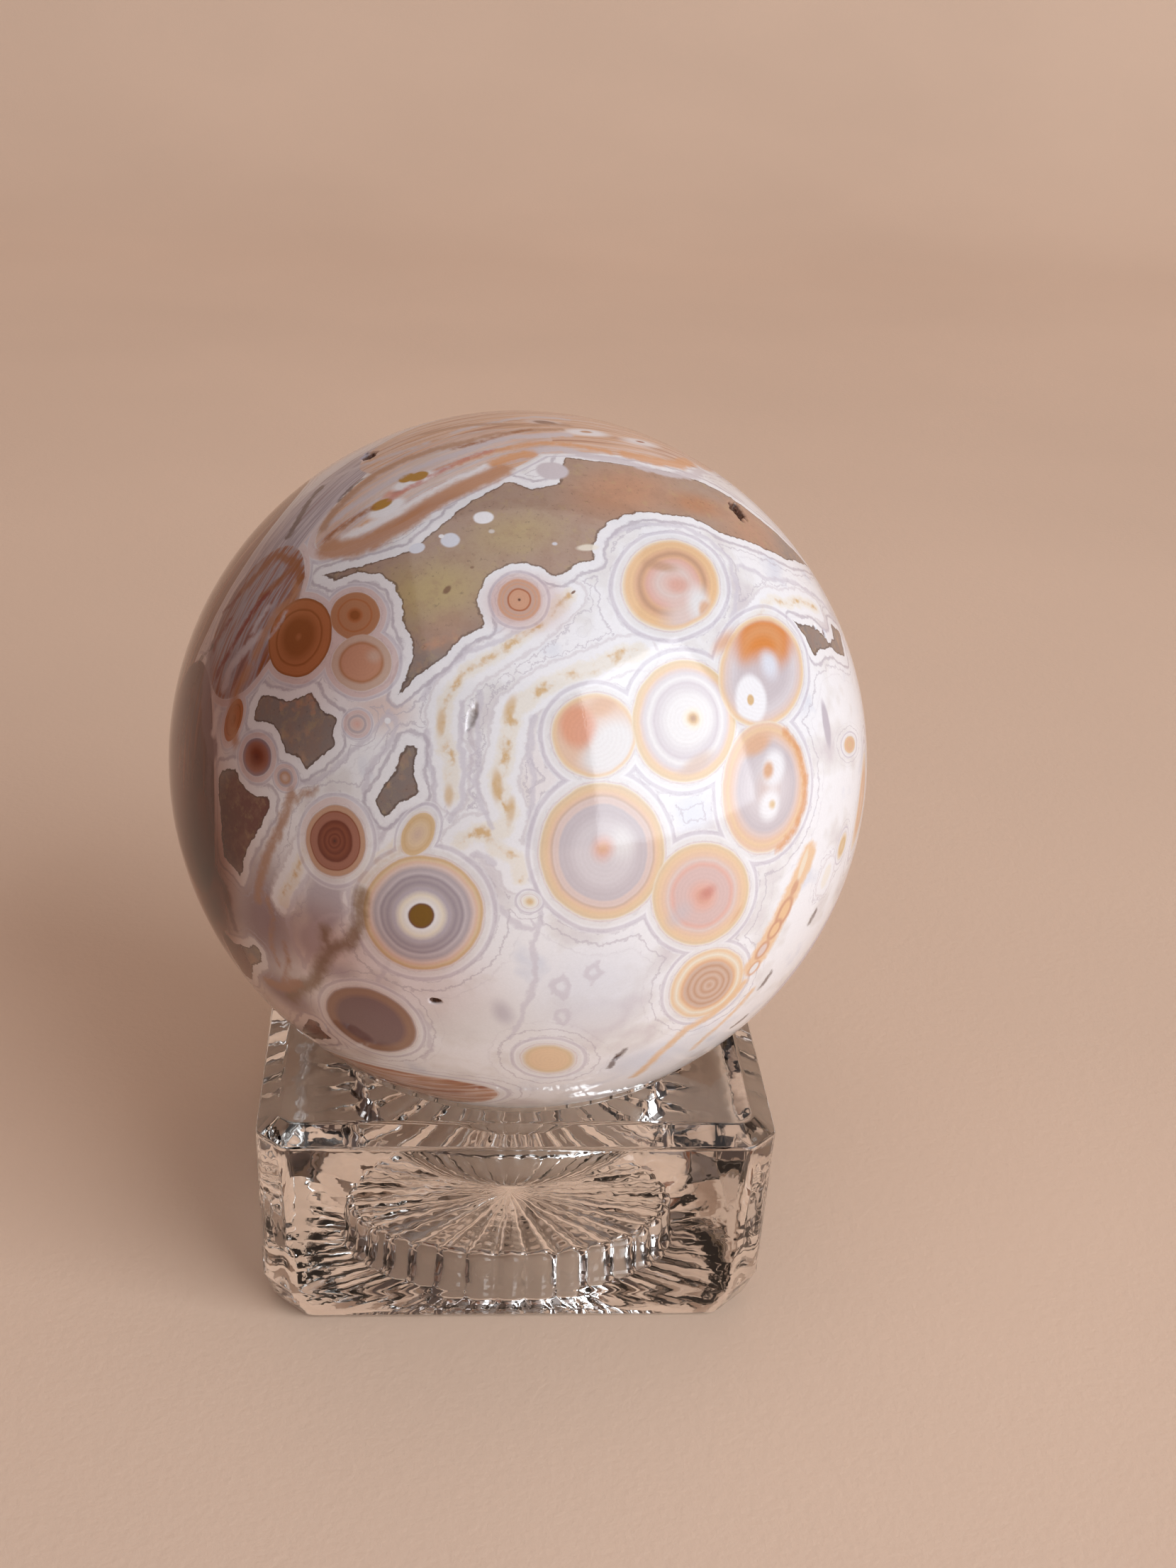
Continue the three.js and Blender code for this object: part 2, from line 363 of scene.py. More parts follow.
ORBS = (
    Orb(
        "fibre_zone", (420, 737), 14.7, 3.2, 112,
        ((0.8, Tint.LILAC), (1.0, Tint.PALE_LILAC)),
        0.8,
        fibres=(
            (0.34, Tint.DOVE), (0.43, Tint.ASH_LILAC), (0.5, Tint.PALE_LILAC), (0.56, Tint.LILAC),
            (0.66, Tint.MAUVE),
        ),
    ),
    Orb(
        "leaf_band", (283, 863), 16.3, 9.0, -76,
        (
            (0.0, Tint.TAN), (0.12, Tint.CLAY), (0.24, Tint.TAN), (0.32, Tint.DUN),
            (0.4, Tint.CLAY), (0.46, Tint.TAN), (0.52, Tint.DUN), (0.64, Tint.SMOKE_BROWN),
            (0.7, Tint.DUN), (0.76, Tint.CLAY), (0.84, Tint.DUN), (0.88, Tint.MAUVE),
            (0.92, Tint.DUN), (0.96, Tint.DUN), (1.0, Tint.MAUVE),
        ),
        0.7,
        fibres=((0.35, Tint.CLAY), (0.45, Tint.DUN), (0.55, Tint.DUN), (0.66, Tint.TAN)),
    ),
    Orb(
        "left_rim_orb", (258, 1098), 10.7, 7.0, 106,
        (
            (0.0, Tint.TAN), (0.14, Tint.CLAY), (0.22, Tint.TAN), (0.34, Tint.COCOA),
            (0.42, Tint.CLAY), (0.5, Tint.COCOA), (0.6, Tint.SMOKE_BROWN), (0.66, Tint.COCOA),
            (0.74, Tint.CLAY), (0.8, Tint.COCOA), (0.93, Tint.COCOA), (1.0, Tint.MAUVE),
        ),
        0.8,
        fibres=(
            (0.34, Tint.SMOKE), (0.45, Tint.SMOKE_BROWN), (0.55, Tint.COCOA), (0.66, Tint.CLAY),
        ),
    ),
    Orb(
        "top_band", (767, 593), 17.8, 8.0, -130,
        ((0.7, Tint.PEACH), (0.84, Tint.BLUSH), (0.93, Tint.PEACH), (1.0, Tint.PALE_LILAC)),
        fibres=(
            (0.33, Tint.CLAY), (0.41, Tint.TAN), (0.47, Tint.PEACH), (0.52, Tint.BLUSH),
            (0.58, Tint.TAN), (0.66, Tint.PEACH_PALE),
        ),
        patches=(
            Spot((769, 596), 2.6, 1.3, -139, Tint.BLUSH, 0.6),
            Spot((769, 596), 1.4, 0.7, -139, Tint.UMBER, 0.4, 0.85),
            Spot((827, 610), 3.0, 1.3, -62, Tint.SNOW, 0.6, 0.9),
            Spot((827, 609), 0.8, 0.4, -62, Tint.TAN, 0.5),
            Spot((904, 624), 3.2, 1.3, -59, Tint.SNOW, 0.7, 0.8),
            Spot((903, 623), 0.7, 0.3, -59, Tint.CLAY, 0.5),
        ),
    ),
    Orb(
        "long_orb", (605, 665), 12.0, 5.0, 74,
        (
            (0.0, Tint.PALE_LILAC), (0.45, Tint.MILK), (0.6, Tint.BLUSH), (0.7, Tint.PEACH),
            (0.8, Tint.CARAMEL), (0.94, Tint.TOFFEE), (1.0, Tint.PEACH_PALE),
        ),
        1.1,
        fibres=(
            (0.34, Tint.PEACH), (0.42, Tint.BLUSH), (0.5, Tint.BISCUIT), (0.57, Tint.PALE_LILAC),
            (0.66, Tint.CARAMEL),
        ),
        patches=(
            Spot((562, 692), 1.9, 0.8, 62, Tint.ROSE, 0.5),
            Spot((562, 692), 0.9, 0.5, 62, Tint.CLAY, 0.9, 0.7),
            Spot((583, 678), 2.4, 1.1, 62, Tint.SNOW, 0.4),
            Spot((545, 717), 2.1, 1.2, 60, Tint.SNOW, 0.4),
            Spot((573, 674), 0.9, 0.8, 40, Tint.OLIVE_GOLD, 0.3),
            Spot((590, 672), 1.05, 0.8, 50, Tint.OLIVE_GOLD, 0.3),
            Spot((538, 712), 1.2, 0.8, 58, Tint.OLIVE_GOLD, 0.3),
        ),
    ),
    Orb(
        "red_streak_orb", (353, 872), 7.4, 5.6, 101,
        ((0.72, Tint.ASH_LILAC), (0.86, Tint.CLAY), (0.95, Tint.RUST), (1.0, Tint.BLUSH)),
        fibres=(
            (0.32, Tint.BRICK), (0.42, Tint.CLAY), (0.5, Tint.DOVE), (0.56, Tint.ASH_LILAC),
            (0.62, Tint.CLAY), (0.7, Tint.RUST),
        ),
    ),
    Orb("red_streak_tail", (329, 1016), 2.0, 1.2, 88, AMBER_RINGS, 0.8),
    Orb("big_amber_orb", (421, 898), 3.9, 3.4, -27, BIG_AMBER_RINGS),
    Orb(
        "upper_amber_orb", (500, 868), 2.6, 2.1, -11,
        (
            (0.16, Tint.RUST), (0.26, Tint.AMBER), (0.36, Tint.TOFFEE), (0.6, Tint.TOFFEE),
            (0.66, Tint.AMBER), (0.72, Tint.TOFFEE), (0.9, Tint.TOFFEE), (1.0, Tint.TAN),
        ),
    ),
    Orb(
        "lower_amber_orb", (509, 934), 2.9, 2.4, -2,
        ((0.6, Tint.CARAMEL), (0.68, Tint.TOFFEE), (0.78, Tint.BISCUIT), (1.0, Tint.BISCUIT)),
        patches=(Spot((527, 925), 1.1, 0.9, 0, Tint.BISCUIT, 0.9, 0.8),),
    ),
    Orb(
        "target_orb", (732, 846), 2.0, 1.9, -87,
        (
            (0.04, Tint.UMBER), (0.09, Tint.PEACH), (0.44, Tint.PEACH), (0.48, Tint.AMBER),
            (0.51, Tint.AMBER), (0.56, Tint.BISCUIT), (0.66, Tint.BISCUIT), (0.72, Tint.PEACH),
            (0.78, Tint.BISCUIT), (0.88, Tint.PEACH), (1.0, Tint.BLUSH),
        ),
        0.85,
    ),
    Orb(
        "crown_orb", (950, 822), 5.4, 4.0, 22,
        (
            (0.0, Tint.ROSE_PALE), (0.3, Tint.BLUSH), (0.5, Tint.ROSE_PALE), (0.58, Tint.PEACH),
            (0.65, Tint.TAN), (0.72, Tint.PEACH), (0.8, Tint.MELON), (0.9, Tint.MELON),
            (1.0, Tint.CREAM),
        ),
        1.3,
        patches=(
            Spot((968, 872), 3.6, 2.6, 20, Tint.BLUSH, 0.8),
            Spot((985, 850), 2.6, 1.6, 60, Tint.MILK, 0.8),
            Spot((995, 862), 1.3, 0.9, 60, Tint.PEACH, 0.6, 0.9),
            Spot((959, 826), 1.6, 1.0, 10, Tint.ROSE, 0.8, 0.7),
            Spot((933, 798), 2.2, 0.8, -20, Tint.TAN, 0.8, 0.8),
        ),
    ),
    Orb(
        "fading_orb", (839, 1037), 3.6, 3.5, 15,
        (
            (0.0, Tint.BLUSH), (0.6, Tint.PEACH_PALE), (0.8, Tint.PEACH_PALE), (0.91, Tint.SHELL),
            (1.0, Tint.CREAM),
        ),
        1.2,
        patches=(
            Spot((866, 1052), 3.4, 2.6, 60, Tint.MILK, 0.6),
            Spot((845, 1072), 2.4, 1.6, 0, Tint.MILK, 0.8),
            Spot((849, 995), 2.2, 1.1, 20, Tint.PEACH, 0.8, 0.9),
            Spot((815, 1024), 2.3, 1.9, 90, Tint.CORAL, 0.5, 0.75),
        ),
    ),
    Orb(
        "bright_eye_orb", (969, 1016), 5.3, 4.9, 50,
        (
            (0.34, Tint.MILK), (0.6, Tint.PALE_LILAC), (0.68, Tint.MILK), (0.76, Tint.MIST),
            (0.82, Tint.BLUSH), (0.87, Tint.SHELL), (0.95, Tint.STRAW), (1.0, Tint.CREAM),
        ),
        1.2,
        patches=(
            Spot((983, 1078), 2.9, 1.0, 20, Tint.BISCUIT, 0.8, 0.8),
            Spot((978, 1012), 2.4, 2.3, 0, Tint.MILK, 0.35),
            Spot((978, 1013), 1.3, 1.2, 0, Tint.CREAM, 0.6),
            Spot((978, 1013), 0.8, 0.75, 0, Tint.HONEY, 0.6),
            Spot((978, 1013), 0.45, 0.45, 0, Tint.TAN_DEEP, 0.8, 0.8),
        ),
    ),
    Orb(
        "orange_cap_orb", (1080, 945), 6.1, 4.4, 19,
        (
            (0.5, Tint.PEARL), (0.7, Tint.MIST), (0.84, Tint.BLUSH), (0.93, Tint.SHELL),
            (1.0, Tint.CREAM),
        ),
        1.2,
        patches=(
            Spot((1080, 902), 5.4, 3.5, 10, Tint.ORANGE, 0.5, 0.95),
            Spot((1077, 913), 3.8, 2.4, 10, Tint.APRICOT, 0.5, 0.85),
            Spot((1076, 918), 2.9, 1.8, 10, Tint.ORANGE, 0.6, 0.9),
            Spot((1068, 955), 5.0, 2.4, 10, Tint.PEARL, 0.8, 0.95),
            Spot((1086, 938), 1.9, 1.6, 60, Tint.ICE, 0.8),
            Spot((1060, 987), 2.5, 2.0, 60, Tint.SNOW, 0.3),
            Spot((1059, 987), 0.6, 0.45, 60, Tint.HONEY, 0.4),
        ),
    ),
    Orb(
        "twin_heart_orb", (1084, 1111), 5.7, 5.2, 80,
        (
            (0.0, Tint.BLUSH), (0.35, Tint.MIST), (0.64, Tint.PEARL), (0.73, Tint.BLUSH),
            (0.8, Tint.PEACH_PALE), (0.87, Tint.SHELL), (0.94, Tint.PEACH_PALE), (1.0, Tint.CREAM),
        ),
        1.2,
        patches=(
            Spot((1068, 1050), 2.6, 1.2, 10, Tint.PEACH, 0.7, 0.9),
            Spot((1092, 1084), 2.2, 1.7, 60, Tint.SNOW, 0.6),
            Spot((1084, 1087), 1.1, 0.9, 60, Tint.PEACH, 0.7),
            Spot((1086, 1136), 1.9, 1.6, 60, Tint.SNOW, 0.6),
            Spot((1089, 1135), 0.6, 0.6, 0, Tint.STRAW, 0.8),
        ),
    ),
    Orb(
        "great_orb", (852, 1204), 6.0, 5.3, -73, GREAT_RINGS, 1.3,
        patches=(
            # The milk-white patch right of the middle is a painted highlight, on the side that the
            # window light comes from.
            Spot((877, 1189), 2.2, 1.7, 90, Tint.MILK, 0.9, 0.9),
            Spot((850, 1197), 1.6, 1.4, 90, Tint.ROSE_PALE),
            Spot((850, 1197), 0.8, 0.8, 0, Tint.PEACH, 0.9, 0.8),
        ),
    ),
    Orb(
        "rose_orb", (992, 1264), 5.3, 4.5, -45,
        (
            (0.1, Tint.ROSE), (0.2, Tint.ROSE_PALE), (0.36, Tint.ROSE_GREY),
            (0.52, Tint.ROSE_GREY), (0.6, Tint.ROSE_PALE), (0.68, Tint.BLUSH),
            (0.76, Tint.PEACH_PALE), (0.88, Tint.SHELL), (0.94, Tint.CUSTARD), (1.0, Tint.CREAM),
        ),
        1.2,
        patches=(
            Spot((999, 1258), 1.2, 0.9, 20, Tint.ROSE_DEEP, 0.9, 0.7),
            Spot((958, 1290), 2.2, 1.4, 40, Tint.PEARL, 0.9, 0.6),
            Spot((1041, 1294), 2.0, 0.8, 60, Tint.PEACH, 0.7, 0.9),
        ),
    ),
    Orb(
        "tilted_orb", (1000, 1390), 4.7, 3.7, -51,
        (
            (0.0, Tint.TAN), (0.12, Tint.BISCUIT), (0.2, Tint.TAN), (0.3, Tint.BISCUIT),
            (0.38, Tint.TAN), (0.46, Tint.BISCUIT), (0.54, Tint.TAN), (0.62, Tint.BISCUIT),
            (0.68, Tint.PEACH), (0.74, Tint.SHELL), (0.82, Tint.CREAM), (0.92, Tint.SHELL),
            (1.0, Tint.CREAM),
        ),
        1.1,
    ),
    Orb(
        "brick_orb", (472, 1187), 3.3, 2.9, 65,
        (
            (0.0, Tint.PIT), (0.05, Tint.BRICK_DARK), (0.14, Tint.BRICK), (0.18, Tint.BRICK_DARK),
            (0.24, Tint.BRICK), (0.34, Tint.BRICK_DARK), (0.39, Tint.BRICK),
            (0.54, Tint.BRICK_DARK), (0.59, Tint.CLAY), (0.76, Tint.CLAY), (0.79, Tint.BRICK),
            (0.82, Tint.TAN), (0.93, Tint.TAN), (1.0, Tint.PEARL),
        ),
        1.1,
    ),
    Orb("olive_eye_orb", (594, 1292), 5.7, 5.0, 55, EYE_RINGS, 1.3),
    Orb(
        "dusk_orb", (521, 1442), 4.9, 4.2, 50,
        ((0.68, Tint.SMOKE), (0.82, Tint.DUN), (0.93, Tint.DUN), (1.0, Tint.PEARL)),
    ),
    Orb(
        "soft_orange_orb", (775, 1495), 2.8, 2.3, -51,
        ((0.62, Tint.SHELL), (0.8, Tint.STRAW), (1.0, Tint.MILK)),
        1.2,
    ),
    Orb(
        "underside_orb", (569, 1531), 9.9, 4.5, 13,
        (
            (0.0, Tint.TAN), (0.6, Tint.CLAY), (0.82, Tint.TAN), (0.93, Tint.AMBER),
            (1.0, Tint.BLUSH),
        ),
        fibres=((0.35, Tint.CLAY), (0.45, Tint.TAN), (0.53, Tint.BLUSH), (0.62, Tint.TAN)),
    ),
    Orb(
        "dark_rose_orb", (362, 1068), 1.9, 1.7, 18,
        (
            (0.0, Tint.BRICK_DARK), (0.35, Tint.BRICK), (0.7, Tint.CLAY), (0.9, Tint.MAUVE),
            (1.0, Tint.LILAC),
        ),
        0.9,
    ),
    Orb(
        "rose_bead", (504, 1021), 0.95, 0.9, 0,
        ((0.0, Tint.ROSE_PALE), (0.6, Tint.BLUSH), (0.75, Tint.LILAC_LINE), (1.0, Tint.BLUSH)),
        0.6,
    ),
    Orb(
        "tongue_bead", (402, 1097), 1.0, 0.85, 0,
        ((0.0, Tint.BLUSH), (0.5, Tint.TAN), (0.8, Tint.LILAC), (1.0, Tint.BLUSH)),
        0.6,
    ),
    Orb(
        "green_bead", (747, 1272), 0.75, 0.65, 0,
        ((0.0, Tint.HONEY), (0.3, Tint.STRAW), (0.6, Tint.CREAM), (1.0, Tint.SNOW)),
        0.6,
    ),
    Orb(
        "rim_oval", (1199, 1050), 1.6, 0.8, -17,
        ((0.0, Tint.HONEY), (0.6, Tint.PEACH), (1.0, Tint.STRAW)),
        0.7,
    ),
    Orb(
        "rim_band", (1215, 1130), 4.6, 1.7, 60,
        ((0.0, Tint.PEACH_PALE), (0.6, Tint.PEACH), (1.0, Tint.CREAM)),
        0.9,
    ),
    Orb(
        "rim_bead", (1188, 1193), 1.3, 1.0, 60,
        ((0.0, Tint.STRAW), (0.6, Tint.HONEY), (1.0, Tint.CREAM)),
        0.6,
    ),
    Orb(
        "branch_knot", (589, 1177), 2.1, 1.3, 66,
        ((0.0, Tint.BISCUIT), (0.5, Tint.CUSTARD), (0.78, Tint.HONEY), (1.0, Tint.STRAW)),
        0.8,
    ),
)

# Soft tints of the big grey pool and of the other windows.
POOL_TINTS = (
    Spot((790, 720), 27.0, 13.0, 15, Tint.POOL_TAN, 0.5),
    Spot((610, 832), 7.5, 4.8, 20, Tint.POOL_OLIVE, 0.95),
    Spot((725, 752), 6.5, 3.8, 20, Tint.POOL_OLIVE, 0.95, 0.7),
    Spot((880, 692), 8.5, 5.0, 0, Tint.POOL_PINK),
    Spot((985, 712), 5.0, 2.4, -30, Tint.POOL_ORANGE, 0.9, 0.9),
    Spot((1060, 745), 8.0, 5.5, 0, Tint.POOL_PINK, 0.9, 0.8),
    Spot((625, 890), 4.0, 2.6, 30, Tint.POOL_PINK, 0.9, 0.4),
    Spot((344, 1150), 7.0, 4.5, 70, Tint.SHARD, 0.4),
    Spot((335, 1350), 5.0, 3.5, 70, Tint.COCOA, 0.4),
    Spot((445, 1452), 3.0, 2.0, 0, Tint.COCOA, 0.4),
)
# Soft tints of the white rock between the orbs, one of them partly painted shade by the left limb.
ROCK_TINTS = (
    Spot((770, 880), 3.6, 2.2, 20, Tint.BLUSH, 0.9, 0.25),
    Spot((540, 1000), 4.2, 3.0, 0, Tint.BLUSH, 0.9, 0.9),
    Spot((760, 1090), 4.0, 6.0, 0, Tint.BLUSH, 0.9, 0.3),
    Spot((977, 1146), 3.4, 3.4, 0, Tint.ICE, 0.9, 0.9),
    Spot((690, 1240), 2.4, 4.0, 20, Tint.PALE_LILAC, 0.9, 0.7),
    Spot((700, 1440), 9.0, 5.5, 0, Tint.MILK, 0.9, 0.9),
    Spot((710, 1429), 1.4, 2.4, 20, Tint.LILAC, 0.9, 0.7),
    Spot((845, 1435), 3.6, 2.8, 0, Tint.PALE_LILAC, 0.5, 0.5),
    Spot((845, 1435), 2.6, 1.9, 0, Tint.MILK, 0.4, 0.7),
    Spot((370, 1300), 11.0, 6.0, 70, Tint.MAUVE),
    # Partly the stone's brown, partly painted shade and a painted reflection of the dark shadow by
    # the left limb.
    Spot((300, 1290), 8.0, 5.0, 70, Tint.COCOA, 0.8, 0.9),
    Spot((400, 1400), 6.0, 4.0, 0, Tint.MAUVE),
    Spot((458, 1275), 3.8, 2.6, 70, Tint.LILAC, 0.5, 0.9),
    Spot((440, 1325), 2.6, 1.8, 70, Tint.LILAC, 0.6, 0.7),
    Spot((480, 1372), 2.6, 1.4, 20, Tint.LILAC, 0.9, 0.7),
    Spot((840, 1400), 9.0, 8.0, 0, Tint.ICE, 0.9, 0.6),
    Spot((1140, 1345), 11.0, 3.4, 50, Tint.BLUE_LILAC, 0.6, 0.95),
    Spot((910, 1495), 6.0, 4.0, 0, Tint.ICE, 0.9, 0.9),
    Spot((1166, 1022), 2.6, 0.8, 80, Tint.LILAC, 0.4, 0.9),
    Spot((400, 760), 9.0, 5.0, 60, Tint.LILAC, 0.8, 0.9),
    Spot((330, 960), 8.0, 4.0, 80, Tint.LILAC, 0.8, 0.9),
    Spot((345, 1085), 5.0, 4.0, 80, Tint.LILAC, 0.8, 0.9),
)
# White drops in the pool, and small marks that lie over everything else.
DROPS = (
    Spot((682, 730), 1.0, 0.8, 0, Tint.SNOW, 0.25),
    Spot((635, 762), 0.95, 0.85, 0, Tint.ICE, 0.25),
    Spot((588, 773), 0.8, 0.6, 20, Tint.ICE, 0.25),
    Spot((622, 757), 0.3, 0.25, 0, Tint.SNOW, 0.4),
    Spot((694, 750), 0.35, 0.3, 0, Tint.MILK, 0.6, 0.6),
    Spot((782, 767), 0.3, 0.25, 0, Tint.ICE, 0.6, 0.8),
    Spot((829, 772), 1.2, 0.45, 0, Tint.CREAM, 0.5, 0.8),
    Spot((631, 832), 0.55, 0.35, 60, Tint.UMBER, 0.5, 0.8),
    Spot((665, 800), 0.25, 0.2, 0, Tint.UMBER, 0.6, 0.6),
    Spot((808, 835), 0.3, 0.15, 40, Tint.UMBER, 0.5, 0.9),
    Spot((547, 1017), 0.35, 0.3, 0, Tint.SNOW, 0.4),
    Spot((779, 664), 1.6, 1.5, 0, Tint.PALE_LILAC, 0.25),
    Spot((321, 1266), 1.6, 1.2, 70, Tint.RUST, 0.9, 0.9),
    Spot((1020, 906), 2.6, 0.9, 25, Tint.APRICOT, 0.9, 0.7),
    Spot((622, 1019), 1.5, 0.55, 95, Tint.HONEY, 0.7, 0.7),
    Spot((633, 1122), 1.3, 0.55, 95, Tint.HONEY, 0.7, 0.7),
    Spot((719, 998), 1.5, 0.6, 72, Tint.HONEY, 0.7, 0.7),
    Spot((701, 1108), 1.8, 0.6, 95, Tint.HONEY, 0.7, 0.8),
    Spot((721, 1142), 1.5, 0.5, 85, Tint.HONEY, 0.7, 0.7),
    Spot((1133, 1220), 1.9, 0.5, 65, Tint.CREAM, 0.5, 0.7),
    Spot((1121, 1252), 1.0, 0.6, 62, Tint.CARAMEL, 0.5, 0.8),
    Spot((1106, 1286), 1.9, 1.1, 62, Tint.CARAMEL, 0.3, 0.9),
    Spot((1106, 1286), 1.4, 0.7, 62, Tint.MELON, 0.4),
    Spot((1093, 1311), 1.3, 0.95, 62, Tint.CARAMEL, 0.3, 0.9),
    Spot((1093, 1311), 0.9, 0.6, 62, Tint.MELON, 0.4),
    Spot((1076, 1340), 1.2, 0.9, 60, Tint.CARAMEL, 0.3, 0.8),
    Spot((1076, 1340), 0.8, 0.55, 60, Tint.BLUSH, 0.4),
    Spot((1064, 1366), 1.1, 0.8, 60, Tint.CARAMEL, 0.3, 0.6),
    Spot((1064, 1366), 0.8, 0.5, 60, Tint.MILK, 0.4),
)
# The pale crystals in the slit between the two long veins.
PALE_DRUSE = Spot((663, 1005), 4.0, 2.4, 80, Tint.MILK, 0.3, 0.8)
# Where the rinds are rosy.
ROSY_SIDE = Spot((470, 910), 21.0, 16.0, 70, Tint.ROSE_GREY, 0.4)
# Painted shade over the stone's left side, away from the window light, with the stone's own brown
# stains in it: patches multiplied over what is there to darken it. The deep ones by the left limb
# also paint in a reflection of the dark shadow beside the stone.
SHADE_AND_STAINS = (
    Spot((262, 1130), 30.0, 20.0, 85, Tint.STAIN_AND_SHADE_PALE),
    Spot((285, 1235), 17.0, 10.0, 75, Tint.STAIN_AND_SHADE_DEEP, 0.8),
    Spot((300, 1255), 9.0, 5.0, 75, Tint.STAIN_AND_SHADE_DEEP, 0.8),
    Spot((290, 1225), 14.0, 7.0, 75, Tint.STAIN_AND_SHADE_DEEP, 0.8),
    Spot((440, 1325), 7.0, 5.0, 20, Tint.STAIN_AND_SHADE_PALE, 0.8),
    Spot((290, 1040), 12.0, 5.0, 90, Tint.STAIN_AND_SHADE_PALE, 0.8),
    Spot((310, 860), 14.0, 6.0, 100, Tint.STAIN_AND_SHADE_PALE, 0.8),
    Spot((455, 930), 13.0, 9.0, 70, Tint.STAIN_AND_SHADE_PALE, 0.9, 0.8),
    Spot((420, 1440), 13.0, 8.0, 20, Tint.STAIN_AND_SHADE_PALE, 0.8),
    Spot((450, 1340), 13.0, 8.0, 60, Tint.STAIN_AND_SHADE_PALE, 0.9, 0.8),
    Spot((740, 850), 4.6, 3.6, 0, Tint.STAIN_ROSE, 0.5),
    Spot((560, 1380), 12.0, 7.0, 0, Tint.STAIN_ROSE, 0.9, 0.9),
)

WINDOWS = (
    Window("pool", (
        (452, 812), (505, 800), (578, 779), (615, 748), (651, 716), (690, 694), (717, 679),
        (752, 690), (790, 683), (792, 662), (797, 646), (840, 650), (883, 656), (970, 673),
        (1016, 693), (1066, 728), (1109, 766), (1140, 800), (1110, 790), (1082, 776), (1050, 762),
        (1016, 752), (989, 736), (965, 728), (943, 726), (912, 723), (883, 726), (858, 738),
        (844, 752), (836, 772), (838, 789), (815, 796), (790, 812), (774, 810), (765, 800),
        (731, 794), (700, 803), (682, 822), (672, 845), (680, 868), (684, 885), (665, 890),
        (645, 905), (630, 922), (611, 938), (585, 958), (562, 981), (575, 950), (582, 925),
        (580, 900), (572, 882), (568, 868), (566, 845), (558, 825), (540, 811), (505, 807),
        (472, 820),
    )),
    Window("star", (
        (369, 979), (398, 987), (420, 986), (439, 977), (452, 1000), (475, 1014), (470, 1035),
        (472, 1052), (450, 1070), (431, 1084), (418, 1066), (402, 1060), (402, 1051), (385, 1020),
        (356, 1018), (360, 1000),
    )),
    Window("kite", (
        (574, 1048), (588, 1053), (584, 1090), (590, 1119), (565, 1132), (543, 1152), (528, 1128),
        (545, 1105), (557, 1088),
    )),
    Window("shard", (
        (313, 1087), (332, 1083), (338, 1099), (346, 1113), (358, 1122), (381, 1125), (379, 1146),
        (364, 1173), (352, 1191), (344, 1213), (340, 1238), (332, 1226), (315, 1209), (313, 1183),
        (311, 1146), (309, 1122), (309, 1097),
    )),
    Window("low_left", (
        (311, 1309), (330, 1330), (350, 1336), (358, 1332), (367, 1341), (369, 1355), (357, 1366),
        (356, 1383), (345, 1375), (326, 1345),
    )),
    Window("nook", (
        (429, 1448), (437, 1437), (449, 1442), (453, 1453), (468, 1465), (440, 1465), (426, 1456),
    )),
    Window("butterfly_left", (
        (1119, 876), (1133, 883), (1148, 884), (1166, 902), (1172, 915), (1158, 916), (1148, 924),
        (1138, 902),
    )),
    Window("butterfly_right", (
        (1172, 880), (1184, 892), (1192, 928), (1180, 922), (1168, 908), (1176, 900),
    )),
)

# Veins of honey and cream in the white rock.
VEINS = (
    Streak("upper_vein", (
        (804, 839), (760, 880), (718, 910), (686, 930), (655, 950), (630, 985), (625, 1001),
        (627, 1057), (639, 1065), (636, 1121),
    ), 0.3),
    Streak("middle_vein", (
        (905, 920), (877, 923), (842, 939), (771, 966), (724, 1001), (713, 1065), (701, 1104),
        (720, 1148), (712, 1170), (690, 1174),
    ), 0.42),
    Streak("hook_vein", (
        (648, 1189), (660, 1178), (689, 1171), (698, 1197), (733, 1215), (733, 1239),
    ), 0.35),
    Streak("branch", (
        (589, 1150), (580, 1185), (552, 1205), (524, 1226), (511, 1246), (507, 1270),
    ), 0.5),
    Streak("left_vein", ((430, 1199), (423, 1220), (409, 1248), (399, 1271)), 0.25),
    Streak("crooked_vein", (
        (1060, 880), (1078, 858), (1089, 844), (1108, 852), (1130, 848), (1152, 859),
    ), 0.2),
    Streak("small_oval", ((1168, 1228), (1163, 1244)), 0.35),
)

